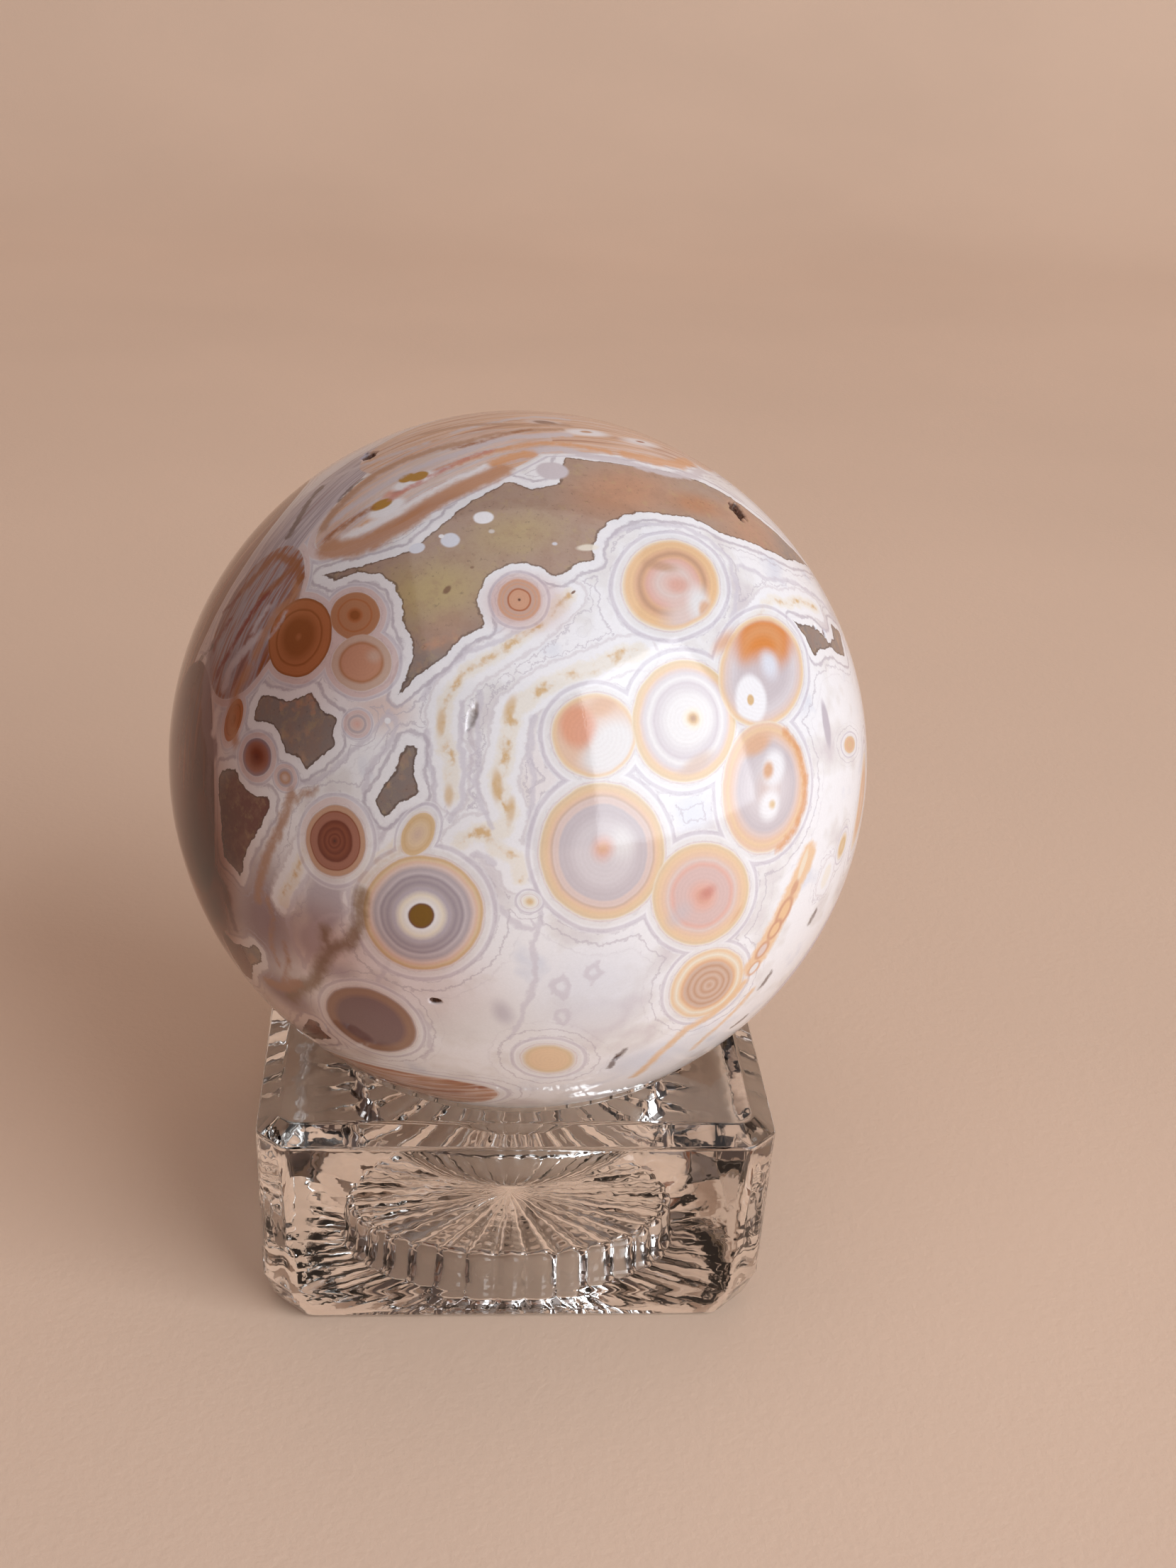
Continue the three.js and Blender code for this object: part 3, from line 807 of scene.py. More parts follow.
# The streaks, in the order in which they lie on one another.
BRUSHES = (
    Brush("mauve_streaks", Tint.MAUVE, 0.3, 0.85, (
        Streak("limb_spike", ((301, 912), (294, 945), (291, 985), (293, 1030), (300, 1058)), 0.9),
        Streak("shard_shore", (
            (297, 1040), (296, 1081), (294, 1122), (300, 1162), (299, 1199), (297, 1213),
            (305, 1234), (317, 1250), (332, 1310),
        ), 0.45),
    )),
    Brush("olive_streaks", Tint.OLIVE_BROWN, 0.6, 0.85, (
        Streak("branch_low", (
            (510, 1262), (507, 1303), (495, 1329), (468, 1338), (454, 1361), (445, 1384),
            (422, 1395), (410, 1407),
        ), 0.65),
        Streak("branch_twig", ((468, 1338), (459, 1325), (459, 1312)), 0.5),
    )),
    Brush("pale_streaks", Tint.PALE_LILAC, 0.3, 0.85, (
        Streak("long_orb_upper", ((461, 742), (491, 719), (537, 687), (583, 663), (651, 638))),
        Streak("wedge", ((379, 856), (363, 877), (356, 891)), 0.25),
        Streak("grey_tail", ((367, 895), (342, 920), (324, 944), (316, 969)), 0.5),
        Streak("beside_amber", ((403, 864), (393, 883), (379, 899)), 0.15),
        Streak("top_lilac", ((640, 643), (688, 624), (728, 616), (763, 615), (800, 613)), 0.5),
        Streak("top_line", ((640, 610), (702, 595), (755, 588), (800, 592)), 0.35),
        Streak("pool_rim", (
            (752, 637), (790, 633), (827, 643), (881, 652), (908, 660), (948, 670), (977, 672),
            (991, 663),
        ), 0.5),
        Streak("fibre_line", ((422, 705), (477, 671), (530, 650), (583, 632), (605, 624)), 0.3),
        Streak("fibre_edge", ((362, 788), (394, 749), (422, 705)), 0.25),
        Streak("druse_tail", ((664, 1030), (667, 1048), (668, 1062), (662, 1085)), 0.22),
    )),
    Brush("snow_streaks", Tint.SNOW, 0.3, 0.85, (
        Streak("long_orb_lower", (
            (485, 760), (525, 741), (571, 718), (617, 692), (685, 660),
        ), 0.55),
        Streak("left_wedge", ((307, 1000), (301, 1034))),
        Streak("pool_far_edge", (
            (975, 652), (991, 662), (1015, 676), (1042, 697), (1075, 725), (1113, 764),
        ), 0.3),
    )),
    Brush("tan_streaks", Tint.TAN_DEEP, 0.35, 0.85, (
        Streak("long_orb_tan", (
            (457, 744), (470, 723), (500, 693), (530, 669), (566, 651), (618, 633), (665, 622),
        ), 0.5),
        Streak("tan_trail", (
            (413, 1118), (405, 1142), (393, 1173), (377, 1207), (366, 1244), (364, 1269),
        ), 0.45),
        Streak("trail_twig", ((446, 1115), (423, 1122), (411, 1138)), 0.25),
        Streak("wavy_a", ((377, 1265), (385, 1295), (382, 1330), (392, 1360)), 0.2),
        Streak("wavy_b", ((401, 1330), (408, 1357), (401, 1385)), 0.22),
        Streak("brown_cloud", ((378, 1386), (400, 1393), (420, 1386)), 0.6),
        Streak("top_stripe_a", ((600, 612), (660, 600), (740, 600), (800, 600))),
        Streak("top_stripe_b", ((640, 628), (690, 614), (747, 607), (790, 606)), 0.35),
    )),
    Brush("amber_streaks", Tint.TOFFEE, 0.5, 0.85, (
        Streak("long_orb_amber", (
            (462, 774), (500, 773), (525, 763), (571, 738), (605, 713), (651, 688), (690, 673),
            (706, 664),
        ), 1.05),
        Streak("streak_orb_side", (
            (419, 822), (416, 842), (391, 862), (379, 883), (367, 907), (358, 928),
        ), 0.45),
        Streak("streak_orb_tail", (
            (350, 944), (342, 960), (332, 981), (326, 1005), (328, 1030), (332, 1046),
        ), 0.5),
    )),
    Brush("peach_streaks", Tint.APRICOT, 0.35, 0.85, (
        Streak("top_end", ((881, 641), (921, 651), (956, 656), (972, 651)), 0.7),
        Streak("top_peach", (
            (640, 656), (667, 646), (720, 631), (769, 625), (811, 628), (860, 638),
        ), 0.35),
        Streak("long_orb_end", ((700, 652), (728, 643), (750, 640)), 0.6),
        Streak("twin_heart_rim", (
            (1108, 1034), (1126, 1058), (1136, 1095), (1134, 1135), (1121, 1172), (1098, 1197),
        ), 0.35),
    )),
    Brush("melon_streaks", Tint.MELON, 0.4, 0.9, (
        Streak("bead_chain", (
            (1141, 1206), (1124, 1244), (1106, 1282), (1090, 1314), (1076, 1340), (1062, 1362),
        ), 1.15),
        Streak("low_right_band", (
            (1048, 1388), (1030, 1410), (1000, 1434), (966, 1453), (928, 1488), (897, 1517),
        ), 0.5),
        Streak("low_right_line", ((1062, 1396), (1036, 1426), (1004, 1455), (976, 1480)), 0.3),
    )),
    Brush("rust_streaks", Tint.RUST, 0.3, 0.85, (
        Streak("streak_orb_left", ((385, 787), (358, 816), (338, 838)), 0.45),
        Streak("streak_orb_heart", ((419, 795), (405, 809), (387, 826), (369, 842))),
        Streak("streak_orb_crown", ((392, 784), (410, 790), (422, 803), (424, 818))),
        Streak("limb_streak", ((285, 1132), (287, 1165), (290, 1203)), 1.1),
        Streak("long_orb_axis", ((523, 717), (495, 735), (472, 750), (459, 762)), 0.28),
        Streak("top_rust", ((640, 634), (680, 623), (747, 606)), 0.2),
    )),
    Brush("red_streaks", Tint.RED, 0.2, 0.85, (
        Streak("streak_orb_red", (
            (377, 838), (358, 860), (346, 879), (334, 901), (324, 920), (311, 940), (305, 956),
        ), 0.3),
        Streak("streak_orb_corner", ((338, 838), (326, 854), (315, 863)), 0.25),
        Streak("streak_orb_low", ((326, 873), (314, 891), (304, 905), (302, 918)), 0.25),
    )),
    Brush("rose_streaks", Tint.ROSE_DEEP, 0.3, 0.8, (
        Streak("long_orb_rose", ((694, 636), (650, 651), (628, 662), (605, 672)), 0.28),
        Streak("between_dots", ((596, 680), (575, 689), (552, 704)), 0.3),
    )),
    Brush("dark_slits", Tint.SLIT, 0.2, 0.8, (
        Streak("fibre_slit", ((453, 688), (438, 705), (429, 719), (408, 756))),
        Streak("small_fibre_slit", ((511, 676), (491, 692), (478, 707)), 0.2),
        Streak("leaf_line", ((300, 912), (281, 932), (268, 956), (259, 966)), 0.16),
        Streak("low_right_slit_a", ((1150, 1286), (1142, 1301)), 0.3),
        Streak("low_right_slit_b", ((1088, 1372), (1073, 1392)), 0.32),
        Streak("low_right_slit_c", ((1052, 1434), (1034, 1448)), 0.3),
        Streak("low_slit", ((861, 1505), (868, 1492), (881, 1481)), 0.28),
    )),
)

# Thin grey lines that follow the growth of the white rock.
GROWTH_LINES = (
    Streak("tongue_upper_line", (
        (545, 1012), (520, 1038), (490, 1066), (455, 1098), (430, 1104), (415, 1108),
    )),
    Streak("tongue_lower_line", (
        (553, 1012), (562, 1022), (548, 1052), (520, 1085), (514, 1120), (528, 1150), (533, 1185),
    )),
    Streak("kite_line", (
        (604, 1040), (606, 1080), (614, 1110), (614, 1140), (580, 1138), (548, 1162), (534, 1190),
    )),
    Streak("pool_shore", ((600, 978), (610, 960), (636, 945), (660, 918), (700, 905), (730, 890))),
    Streak("slit_side_left", ((652, 1000), (648, 1040), (656, 1088), (654, 1130), (640, 1150))),
    Streak("slit_side_right", (
        (676, 985), (672, 1020), (678, 1060), (672, 1100), (678, 1140), (690, 1160),
    )),
    Streak("long_field_line", (
        (752, 1020), (745, 1060), (752, 1100), (748, 1150), (758, 1200), (752, 1240), (765, 1290),
        (752, 1330), (756, 1380), (738, 1430), (722, 1460),
    )),
    Streak("hook_line", (
        (690, 1215), (672, 1205), (650, 1222), (660, 1245), (690, 1270), (722, 1300), (745, 1310),
    )),
    Streak("crown_line", (
        (838, 790), (850, 762), (880, 745), (920, 738), (960, 742), (1000, 762), (1030, 790),
        (1040, 830), (1034, 880),
    )),
    Streak("right_line", (
        (1050, 800), (1080, 815), (1120, 822), (1160, 850), (1180, 880), (1190, 905),
    )),
    Streak("lilac_nook", (
        (436, 1236), (454, 1246), (493, 1250), (493, 1285), (454, 1295), (442, 1305), (440, 1336),
        (430, 1360), (417, 1336), (405, 1295), (419, 1260), (436, 1236),
    )),
    Streak("dusk_contour", (
        (544, 1364), (533, 1386), (547, 1397), (569, 1414), (592, 1428), (606, 1451), (606, 1481),
        (600, 1490),
    )),
    Streak("loop_a", (
        (780, 1384), (792, 1378), (802, 1390), (796, 1404), (782, 1402), (778, 1390), (780, 1384),
    )),
    Streak("loop_b", (
        (828, 1366), (838, 1362), (846, 1372), (836, 1382), (827, 1376), (828, 1366),
    )),
    Streak("loop_c", (
        (786, 1428), (796, 1426), (803, 1436), (794, 1444), (784, 1438), (786, 1428),
    )),
)


class Sheet:
    """A material's node tree, with a short method for each kind of node that the finishes use."""

    def __init__(self, name: str) -> None:
        """Starts an empty material.

        Args:
            name: The material's name.
        """
        self.material = bpy.data.materials.new(name)
        self.material.use_nodes = True
        self.tree = self.material.node_tree
        self.tree.nodes.clear()

    def node(self, kind: str, **settings: object) -> bpy.types.Node:
        """Adds a node.

        Args:
            kind: The node's type, without the words ShaderNode in front.
            settings: Values for the node's own properties.

        Returns:
            The new node.
        """
        made = self.tree.nodes.new("ShaderNode" + kind)
        for key, value in settings.items():
            setattr(made, key, value)
        return made

    def feed(self, socket: Socket, value: Value) -> None:
        """Sets a socket to a number or colour, or links it to another node's output.

        Args:
            socket: The input that gets the value.
            value: A number, a colour, a vector or an output.
        """
        value = light_of(value)
        if isinstance(value, bpy.types.NodeSocket):
            self.tree.links.new(value, socket)
        elif isinstance(value, tuple) and socket.type == "RGBA":
            socket.default_value = (*value, 1)
        else:
            socket.default_value = value

    def fill(self, node: bpy.types.Node, values: dict[str, Value]) -> None:
        """Feeds several inputs of a node.

        Args:
            node: The node.
            values: What goes in, by the inputs' names.
        """
        for name, value in values.items():
            self.feed(node.inputs[name], value)

    def math(self, operation: str, *values: Value) -> Socket:
        """Adds a sum of numbers.

        Args:
            operation: Blender's name for the sum.
            values: Its inputs, in order.

        Returns:
            The result.
        """
        made = self.node("Math", operation=operation)
        for socket, value in zip(made.inputs, values):
            self.feed(socket, value)
        return made.outputs[0]

    def times(self, first: Value, second: Value) -> Socket:
        """Multiplies two numbers."""
        return self.math("MULTIPLY", first, second)

    def vector(self, operation: str, *values: Value) -> Socket:
        """Adds a sum of vectors whose result is a vector.

        Args:
            operation: Blender's name for the sum.
            values: Its inputs, in order.

        Returns:
            The result.
        """
        made = self.node("VectorMath", operation=operation)
        for socket, value in zip(made.inputs, values):
            self.feed(socket, value)
        return made.outputs["Vector"]

    def scaled(self, vector: Socket, factor: float) -> Socket:
        """Multiplies a vector by a number.

        Args:
            vector: The vector.
            factor: The number.

        Returns:
            The longer or shorter vector.
        """
        made = self.node("VectorMath", operation="SCALE")
        self.feed(made.inputs[0], vector)
        self.feed(made.inputs["Scale"], factor)
        return made.outputs["Vector"]

    def length(self, vector: Socket) -> Socket:
        """Measures a vector.

        Args:
            vector: The vector.

        Returns:
            Its length.
        """
        made = self.node("VectorMath", operation="LENGTH")
        self.feed(made.inputs[0], vector)
        return made.outputs["Value"]

    def between(self, value: Value, low: float, high: float, top: float = 1.0) -> Socket:
        """Turns a range of values into 0 to 1, eased at its ends, and holds it there outside.

        Args:
            value: The value to turn.
            low: What becomes 0.
            high: What becomes 1.
            top: What the 1 becomes, where the result is weaker than that.

        Returns:
            The result.
        """
        made = self.node("MapRange", interpolation_type="SMOOTHSTEP", clamp=False)
        self.fill(made, {"Value": value, "From Min": low, "From Max": high, "To Max": top})
        return made.outputs["Result"]

    def band(self, value: Value, middle: Value, half: float, soft: float) -> Socket:
        """Finds where a value is close to a middle value.

        Args:
            value: The value.
            middle: The middle of the band.
            half: Half the band's width.
            soft: How far the band's edges fade out.

        Returns:
            1 in the band and 0 outside it.
        """
        off = self.math("ABSOLUTE", self.math("SUBTRACT", value, middle))
        return self.between(off, half + soft, half)

    def mix(self, share: Value, first: Value, second: Value, blend: str = "MIX") -> Socket:
        """Mixes two colours.

        Args:
            share: The second colour's share.
            first: The first colour.
            second: The second colour.
            blend: Blender's name for the way they mix.

        Returns:
            The mixed colour.
        """
        made = self.node("Mix", data_type="RGBA", blend_type=blend)
        self.feed(made.inputs[0], share)
        self.feed(made.inputs[6], first)
        self.feed(made.inputs[7], second)
        return made.outputs[2]

    def ramp(self, value: Socket, stops: Stops) -> Socket:
        """Turns a value into a colour along a ramp.

        Args:
            value: The value, from 0 to 1.
            stops: Pairs of a value and the colour there, in order.

        Returns:
            The colour.
        """
        made = self.node("ValToRGB")
        elements = made.color_ramp.elements
        while len(elements) < len(stops):
            elements.new(1.0)
        for element, (place, colour) in zip(elements, stops):
            element.position = place
            element.color = (*light_of(colour), 1)
        self.feed(made.inputs[0], value)
        return made.outputs["Color"]

    def noise(
        self, vector: Socket, scale: float, detail: float = 2, roughness: float = 0.5,
    ) -> Socket:
        """Adds a cloud of noise.

        Args:
            vector: Where it is read.
            scale: How many clouds there are to each unit of the vector.
            detail: How many finer layers it has.
            roughness: How strong the finer layers are.

        Returns:
            The noise, about 0.5.
        """
        made = self.node("TexNoise")
        self.fill(made, {
            "Vector": vector, "Scale": scale, "Detail": detail, "Roughness": roughness,
        })
        return made.outputs["Fac"]

    def drift(self, vector: Socket, scale: float, reach: float, detail: float = 2) -> Socket:
        """Moves a place about by noise, so that what is drawn there wavers.

        Args:
            vector: The place.
            scale: How many waves there are to each unit.
            reach: How far the place moves, at most about half of this each way.
            detail: How many finer layers the waves have.

        Returns:
            The moved place.
        """
        made = self.node("TexNoise")
        self.fill(made, {"Vector": vector, "Scale": scale, "Detail": detail})
        centred = self.vector("SUBTRACT", made.outputs["Color"], (0.5, 0.5, 0.5))
        return self.vector("ADD", vector, self.scaled(centred, reach))

    def relief(self, strength: Value, distance: float, height: Socket) -> Socket:
        """Tilts the surface's light by a height that is too fine for the mesh.

        Args:
            strength: How strong it is, from 0 to 1.
            distance: How high a height of 1 is, in metres.
            height: The height.

        Returns:
            The tilted direction of the surface.
        """
        made = self.node("Bump")
        self.fill(made, {"Strength": strength, "Distance": distance, "Height": height})
        return made.outputs["Normal"]

    def place(self) -> Socket:
        """Gives the place on the piece in millimetres from its origin."""
        return self.scaled(self.node("TexCoord").outputs["Object"], 1 / MM)

    def attribute(self, name: str) -> Socket:
        """Reads a number that the mesh holds at its points."""
        return self.node("Attribute", attribute_name=name).outputs["Fac"]

    def finish(self, shader: Socket, volume: Socket | None = None) -> bpy.types.Material:
        """Ends the material.

        Args:
            shader: What its surface is.
            volume: What fills it, if anything does.

        Returns:
            The finished material.
        """
        output = self.node("OutputMaterial")
        self.tree.links.new(shader, output.inputs["Surface"])
        if volume is not None:
            self.tree.links.new(volume, output.inputs["Volume"])
        return self.material


@dataclass(frozen=True)
class JasperFinish:
    """The polished rock: orbs with their rings and rinds, grey windows, streaks and growth lines.

    Sizes are in millimetres, but for the relief's height, which is in metres. The hidden numbers
    are those of the side that the photograph doesn't show. The covers push that side's orbs and
    windows back where it does show the stone.
    """

    radius: float
    sheet: Sheet = field(default_factory=lambda: Sheet("ocean_jasper"))
    view: PhotoView = PhotoView()
    waver: float = 0.35
    rind_end: float = 1.0
    rind_reach: float = 7.0
    rim_softness: float = 0.14
    fine_ring_pitch: float = 0.3
    fine_ring_strength: float = 0.035
    fibre_pitch: float = 0.75
    fibre_strength: float = 0.75
    hidden_cell: float = 9.5
    hidden_least: float = 2.4
    hidden_spread: float = 3.2
    hidden_disorder: float = 0.9
    hidden_kinds: tuple[float, ...] = (0.3, 0.6, 0.82)
    hidden_window_gap: float = 3.6
    orb_cover: float = 20.0
    window_cover: float = 30.0
    inner_share: float = 0.85
    band_pitch: float = 0.4
    band_near: float = 1.5
    band_far: float = 2.8
    band_strength: float = 0.55
    shore_width: float = 0.95
    polish: float = 0.02
    pit_roughness: float = 0.5
    relief_height: float = 0.0002
    ior: float = 1.54

    def lay(self, texture: bpy.types.Node, spot: Spot | Orb, size: tuple[float, ...]) -> None:
        """Moves, turns and stretches a texture so that it lies on a marking.

        Args:
            texture: The texture's node.
            spot: The marking.
            size: How far a unit of the texture reaches along the marking, across it and outwards.
        """
        middle = self.view.on_stone(spot.at, self.radius)
        outward = middle.normalized()
        level = Vector((-outward.y, outward.x, 0)).normalized()
        long_axis = Matrix.Rotation(math.radians(spot.turn), 3, outward) @ level
        axes = Matrix((long_axis, outward.cross(long_axis), outward)).transposed()
        mapping = texture.texture_mapping
        mapping.vector_type = "TEXTURE"
        mapping.translation = middle
        mapping.rotation = axes.to_euler()
        mapping.scale = size

    def closeness(self, place: Socket, spot: Spot | Orb, spread: float = 1.0) -> Socket:
        """Measures how close a place is to the middle of a marking.

        Args:
            place: The place, in millimetres from the middle of the stone.
            spot: The marking.
            spread: How many of the marking's radii out the measure falls to 0.

        Returns:
            1 at the middle, falling evenly to 0 at the spread.
        """
        sheet = self.sheet
        made = sheet.node("TexGradient", gradient_type="SPHERICAL")
        sheet.feed(made.inputs["Vector"], place)
        depth = (spot.long + spot.wide) / 2
        self.lay(made, spot, Vector((spot.long, spot.wide, depth)) * spread)
        return made.outputs["Fac"]

    def patch(
        self, place: Socket, colour: Value, spot: Spot,
        within: Value = 1.0, blend: str = "MIX",
    ) -> Socket:
        """Lays a patch of colour over what is there.

        Args:
            place: The place, in millimetres.
            colour: The colour so far.
            spot: The patch.
            within: How much of the patch may show here.
            blend: Blender's name for the way the two colours mix.

        Returns:
            The colour with the patch on it.
        """
        sheet = self.sheet
        close = self.closeness(place, spot)
        share = sheet.between(close, 0.0, spot.softness, top=spot.strength)
        if not isinstance(within, float):
            share = sheet.times(share, within)
        return sheet.mix(share, colour, spot.tint, blend)

    def fibres(self, place: Socket, colour: Socket, orb: Orb) -> Socket:
        """Draws fine streaks along an orb.

        Args:
            place: The place, in millimetres.
            colour: The orb's colour so far.
            orb: The orb.

        Returns:
            The colour with the streaks in it.
        """
        sheet = self.sheet
        made = sheet.node("TexNoise")
        sheet.fill(made, {"Vector": place, "Scale": 1.0, "Detail": 2.0})
        self.lay(made, orb, (orb.long, self.fibre_pitch, orb.wide * 3))
        return sheet.mix(self.fibre_strength, colour, sheet.ramp(made.outputs["Fac"], orb.fibres))

    def stays_inside(self, spot: Spot, orb: Orb) -> bool:
        """Tells whether a patch lies well inside its orb.

        Args:
            spot: The patch.
            orb: The orb.

        Returns:
            True if no part of it comes near the orb's outer ring.
        """
        middle = self.view.on_stone(orb.at, self.radius)
        apart = (self.view.on_stone(spot.at, self.radius) - middle).length
        return apart + spot.long < self.inner_share * min(orb.long, orb.wide)

    def orbs(self, place: Socket) -> tuple[Socket, Socket]:
        """Draws every orb that the photograph shows, one over the other.

        Args:
            place: The place, in millimetres.

        Returns:
            The orbs' colour, and the distance outside the nearest rim in units of that orb's rind,
            which is below 0 inside an orb.
        """
        sheet = self.sheet
        colour = Tint.MILK
        nearest = OUT_OF_REACH_MM
        for orb in ORBS:
            log.debug("orb: %s", orb.name)
            size = math.sqrt(orb.long * orb.wide) / orb.rind
            spread = 1 + self.rind_reach / size
            close = self.closeness(place, orb, spread)
            outside = sheet.math("MULTIPLY_ADD", close, -spread * size, (spread - 1) * size)
            nearest = sheet.math("MINIMUM", nearest, outside)
            stops = tuple((1 - at / spread, tint) for at, tint in reversed(orb.rings))
            rings = sheet.ramp(close, stops)
            if orb.fibres:
                rings = self.fibres(place, rings, orb)
            crossing = not all(self.stays_inside(spot, orb) for spot in orb.patches)
            inner = sheet.between(outside, -0.06 * size, -0.16 * size) if crossing else 1.0
            for spot in orb.patches:
                allowed = 1.0 if self.stays_inside(spot, orb) else inner
                rings = self.patch(place, rings, spot, allowed)
            within = sheet.between(outside, 0.0, -self.rim_softness)
            colour = sheet.mix(within, colour, rings)
        return colour, nearest

    def strokes(self, place: Socket, colour: Socket) -> Socket:
        """Lays the coloured streaks over the orbs and the rock.

        Args:
            place: The place, in millimetres.
            colour: The colour so far.

        Returns:
            The colour with the streaks on it.
        """
        sheet = self.sheet
        ripple = sheet.math("MULTIPLY_ADD", sheet.noise(place, 1.3, 3, 0.6), 0.9, -0.45)
        for brush in BRUSHES:
            edge = sheet.math("ADD", sheet.attribute(brush.name), ripple)
            share = sheet.between(edge, brush.soft, -brush.soft, top=brush.strength)
            colour = sheet.mix(share, colour, brush.tint)
        return colour

    def hidden_orbs(self, place: Socket, hidden: Socket) -> tuple[Socket, Socket, Socket]:
        """Fills the side that the photograph doesn't show with orbs of the same kinds.

        Args:
            place: The place, in millimetres.
            hidden: 1 on the hidden side, and 0 on the side that shows.

        Returns:
            The colour inside those orbs, where they are, and the distance outside their rims.
        """
        sheet = self.sheet
        cells = sheet.node("TexVoronoi", voronoi_dimensions="3D", feature="F1")
        sheet.fill(cells, {
            "Vector": place, "Scale": 1 / self.hidden_cell, "Randomness": self.hidden_disorder,
        })
        apart = sheet.times(cells.outputs["Distance"], self.hidden_cell)
        channels = sheet.node("SeparateColor")
        sheet.feed(channels.inputs[0], cells.outputs["Color"])
        draw, choice = channels.outputs[:2]
        size = sheet.math("MULTIPLY_ADD", draw, self.hidden_spread, self.hidden_least)
        cover = sheet.math("MULTIPLY_ADD", hidden, -self.orb_cover, self.orb_cover)
        outside = sheet.math("ADD", sheet.math("SUBTRACT", apart, size), cover)
        share = sheet.math("DIVIDE", apart, size)
        kinds = (BIG_AMBER_RINGS, GREAT_RINGS, PALE_RINGS, EYE_RINGS)
        ramps = [sheet.ramp(share, rings) for rings in kinds]
        colour = ramps[0]
        for limit, kind in zip(self.hidden_kinds, ramps[1:]):
            colour = sheet.mix(sheet.math("GREATER_THAN", choice, limit), colour, kind)
        inside = sheet.between(outside, 0.04, -0.06)
        return colour, inside, outside

    def white_rock(self, place: Socket, nearest: Socket, edge: Socket, hidden: Socket) -> Socket:
        """Colours the white rock with its veins, growth lines and faint banding.

        Args:
            place: The place, in millimetres.
            nearest: The distance outside the nearest orb's rim.
            edge: The distance outside the nearest window.
            hidden: 1 on the hidden side, and 0 on the side that shows.

        Returns:
            The colour.
        """
        sheet = self.sheet
        cloud = sheet.noise(place, 0.16, 3, 0.55)
        colour = sheet.ramp(cloud, (
            (0.3, Tint.MIST), (0.42, Tint.MILK), (0.5, Tint.SNOW), (0.6, Tint.SNOW),
            (0.72, Tint.ICE),
        ))
        for spot in ROCK_TINTS:
            colour = self.patch(place, colour, spot)
        # Faint growth lines and straw stains, which show most on the hidden side.
        growth = sheet.noise(sheet.drift(place, 0.5, 1.6), 0.09, 2, 0.5)
        wave = sheet.math("PINGPONG", sheet.times(growth, 24.0), 0.5)
        lines = sheet.between(wave, 0.05, 0.0)
        far_lines = sheet.times(lines, sheet.math("MULTIPLY_ADD", hidden, 0.4, 0.05))
        colour = sheet.mix(far_lines, colour, Tint.LILAC_LINE)
        stain = sheet.between(sheet.noise(sheet.drift(place, 0.4, 2.5), 0.13, 2), 0.62, 0.7)
        colour = sheet.mix(sheet.times(stain, hidden), colour, Tint.STRAW)
        # Crinkled lilac bands along the rims, veins and windows.
        ripple = sheet.math("MULTIPLY_ADD", sheet.noise(place, 0.9, 4, 0.66), 1.2, -0.6)
        vein = sheet.math("ADD", sheet.attribute("vein_edge"), ripple)
        depth = sheet.math("MINIMUM", sheet.math("MINIMUM", nearest, vein), edge)
        band = sheet.math("PINGPONG", sheet.math("ADD", depth, ripple), self.band_pitch)
        fade = sheet.between(depth, self.band_far, self.band_near, top=self.band_strength)
        bands = sheet.times(sheet.between(band, 0.12, 0.02), fade)
        colour = sheet.mix(bands, colour, Tint.LILAC)
        # The veins: white sides, a lilac line, cream within it and a mottled honey core.
        colour = sheet.mix(sheet.between(vein, 1.5, 0.8), colour, Tint.SNOW)
        line = sheet.band(vein, 1.15, 0.04, 0.16)
        colour = sheet.mix(sheet.times(line, 0.5), colour, Tint.PALE_LILAC)
        colour = sheet.mix(sheet.between(vein, 0.6, 0.1, top=0.6), colour, Tint.CREAM)
        mottle = sheet.between(sheet.noise(place, 0.5, 3, 0.6), 0.44, 0.62)
        core = sheet.times(sheet.between(vein, 0.15, -0.25), mottle)
        colour = sheet.mix(core, colour, Tint.HONEY)
        return sheet.mix(self.growth_line(place), colour, Tint.RIND_LINE)

    def growth_line(self, place: Socket) -> Socket:
        """Finds the thin growth lines.

        Args:
            place: The place, in millimetres.

        Returns:
            How strong a line is here, from 0 to 1.
        """
        sheet = self.sheet
        ripple = sheet.math("MULTIPLY_ADD", sheet.noise(place, 0.8, 3, 0.6), 1.1, -0.55)
        beside = sheet.math("ADD", sheet.attribute("line_side"), ripple)
        thin = sheet.band(beside, 0.0, 0.1, 0.3)
        close = sheet.between(sheet.attribute("line_far"), 0.85, 0.6, top=0.62)
        return sheet.times(thin, close)

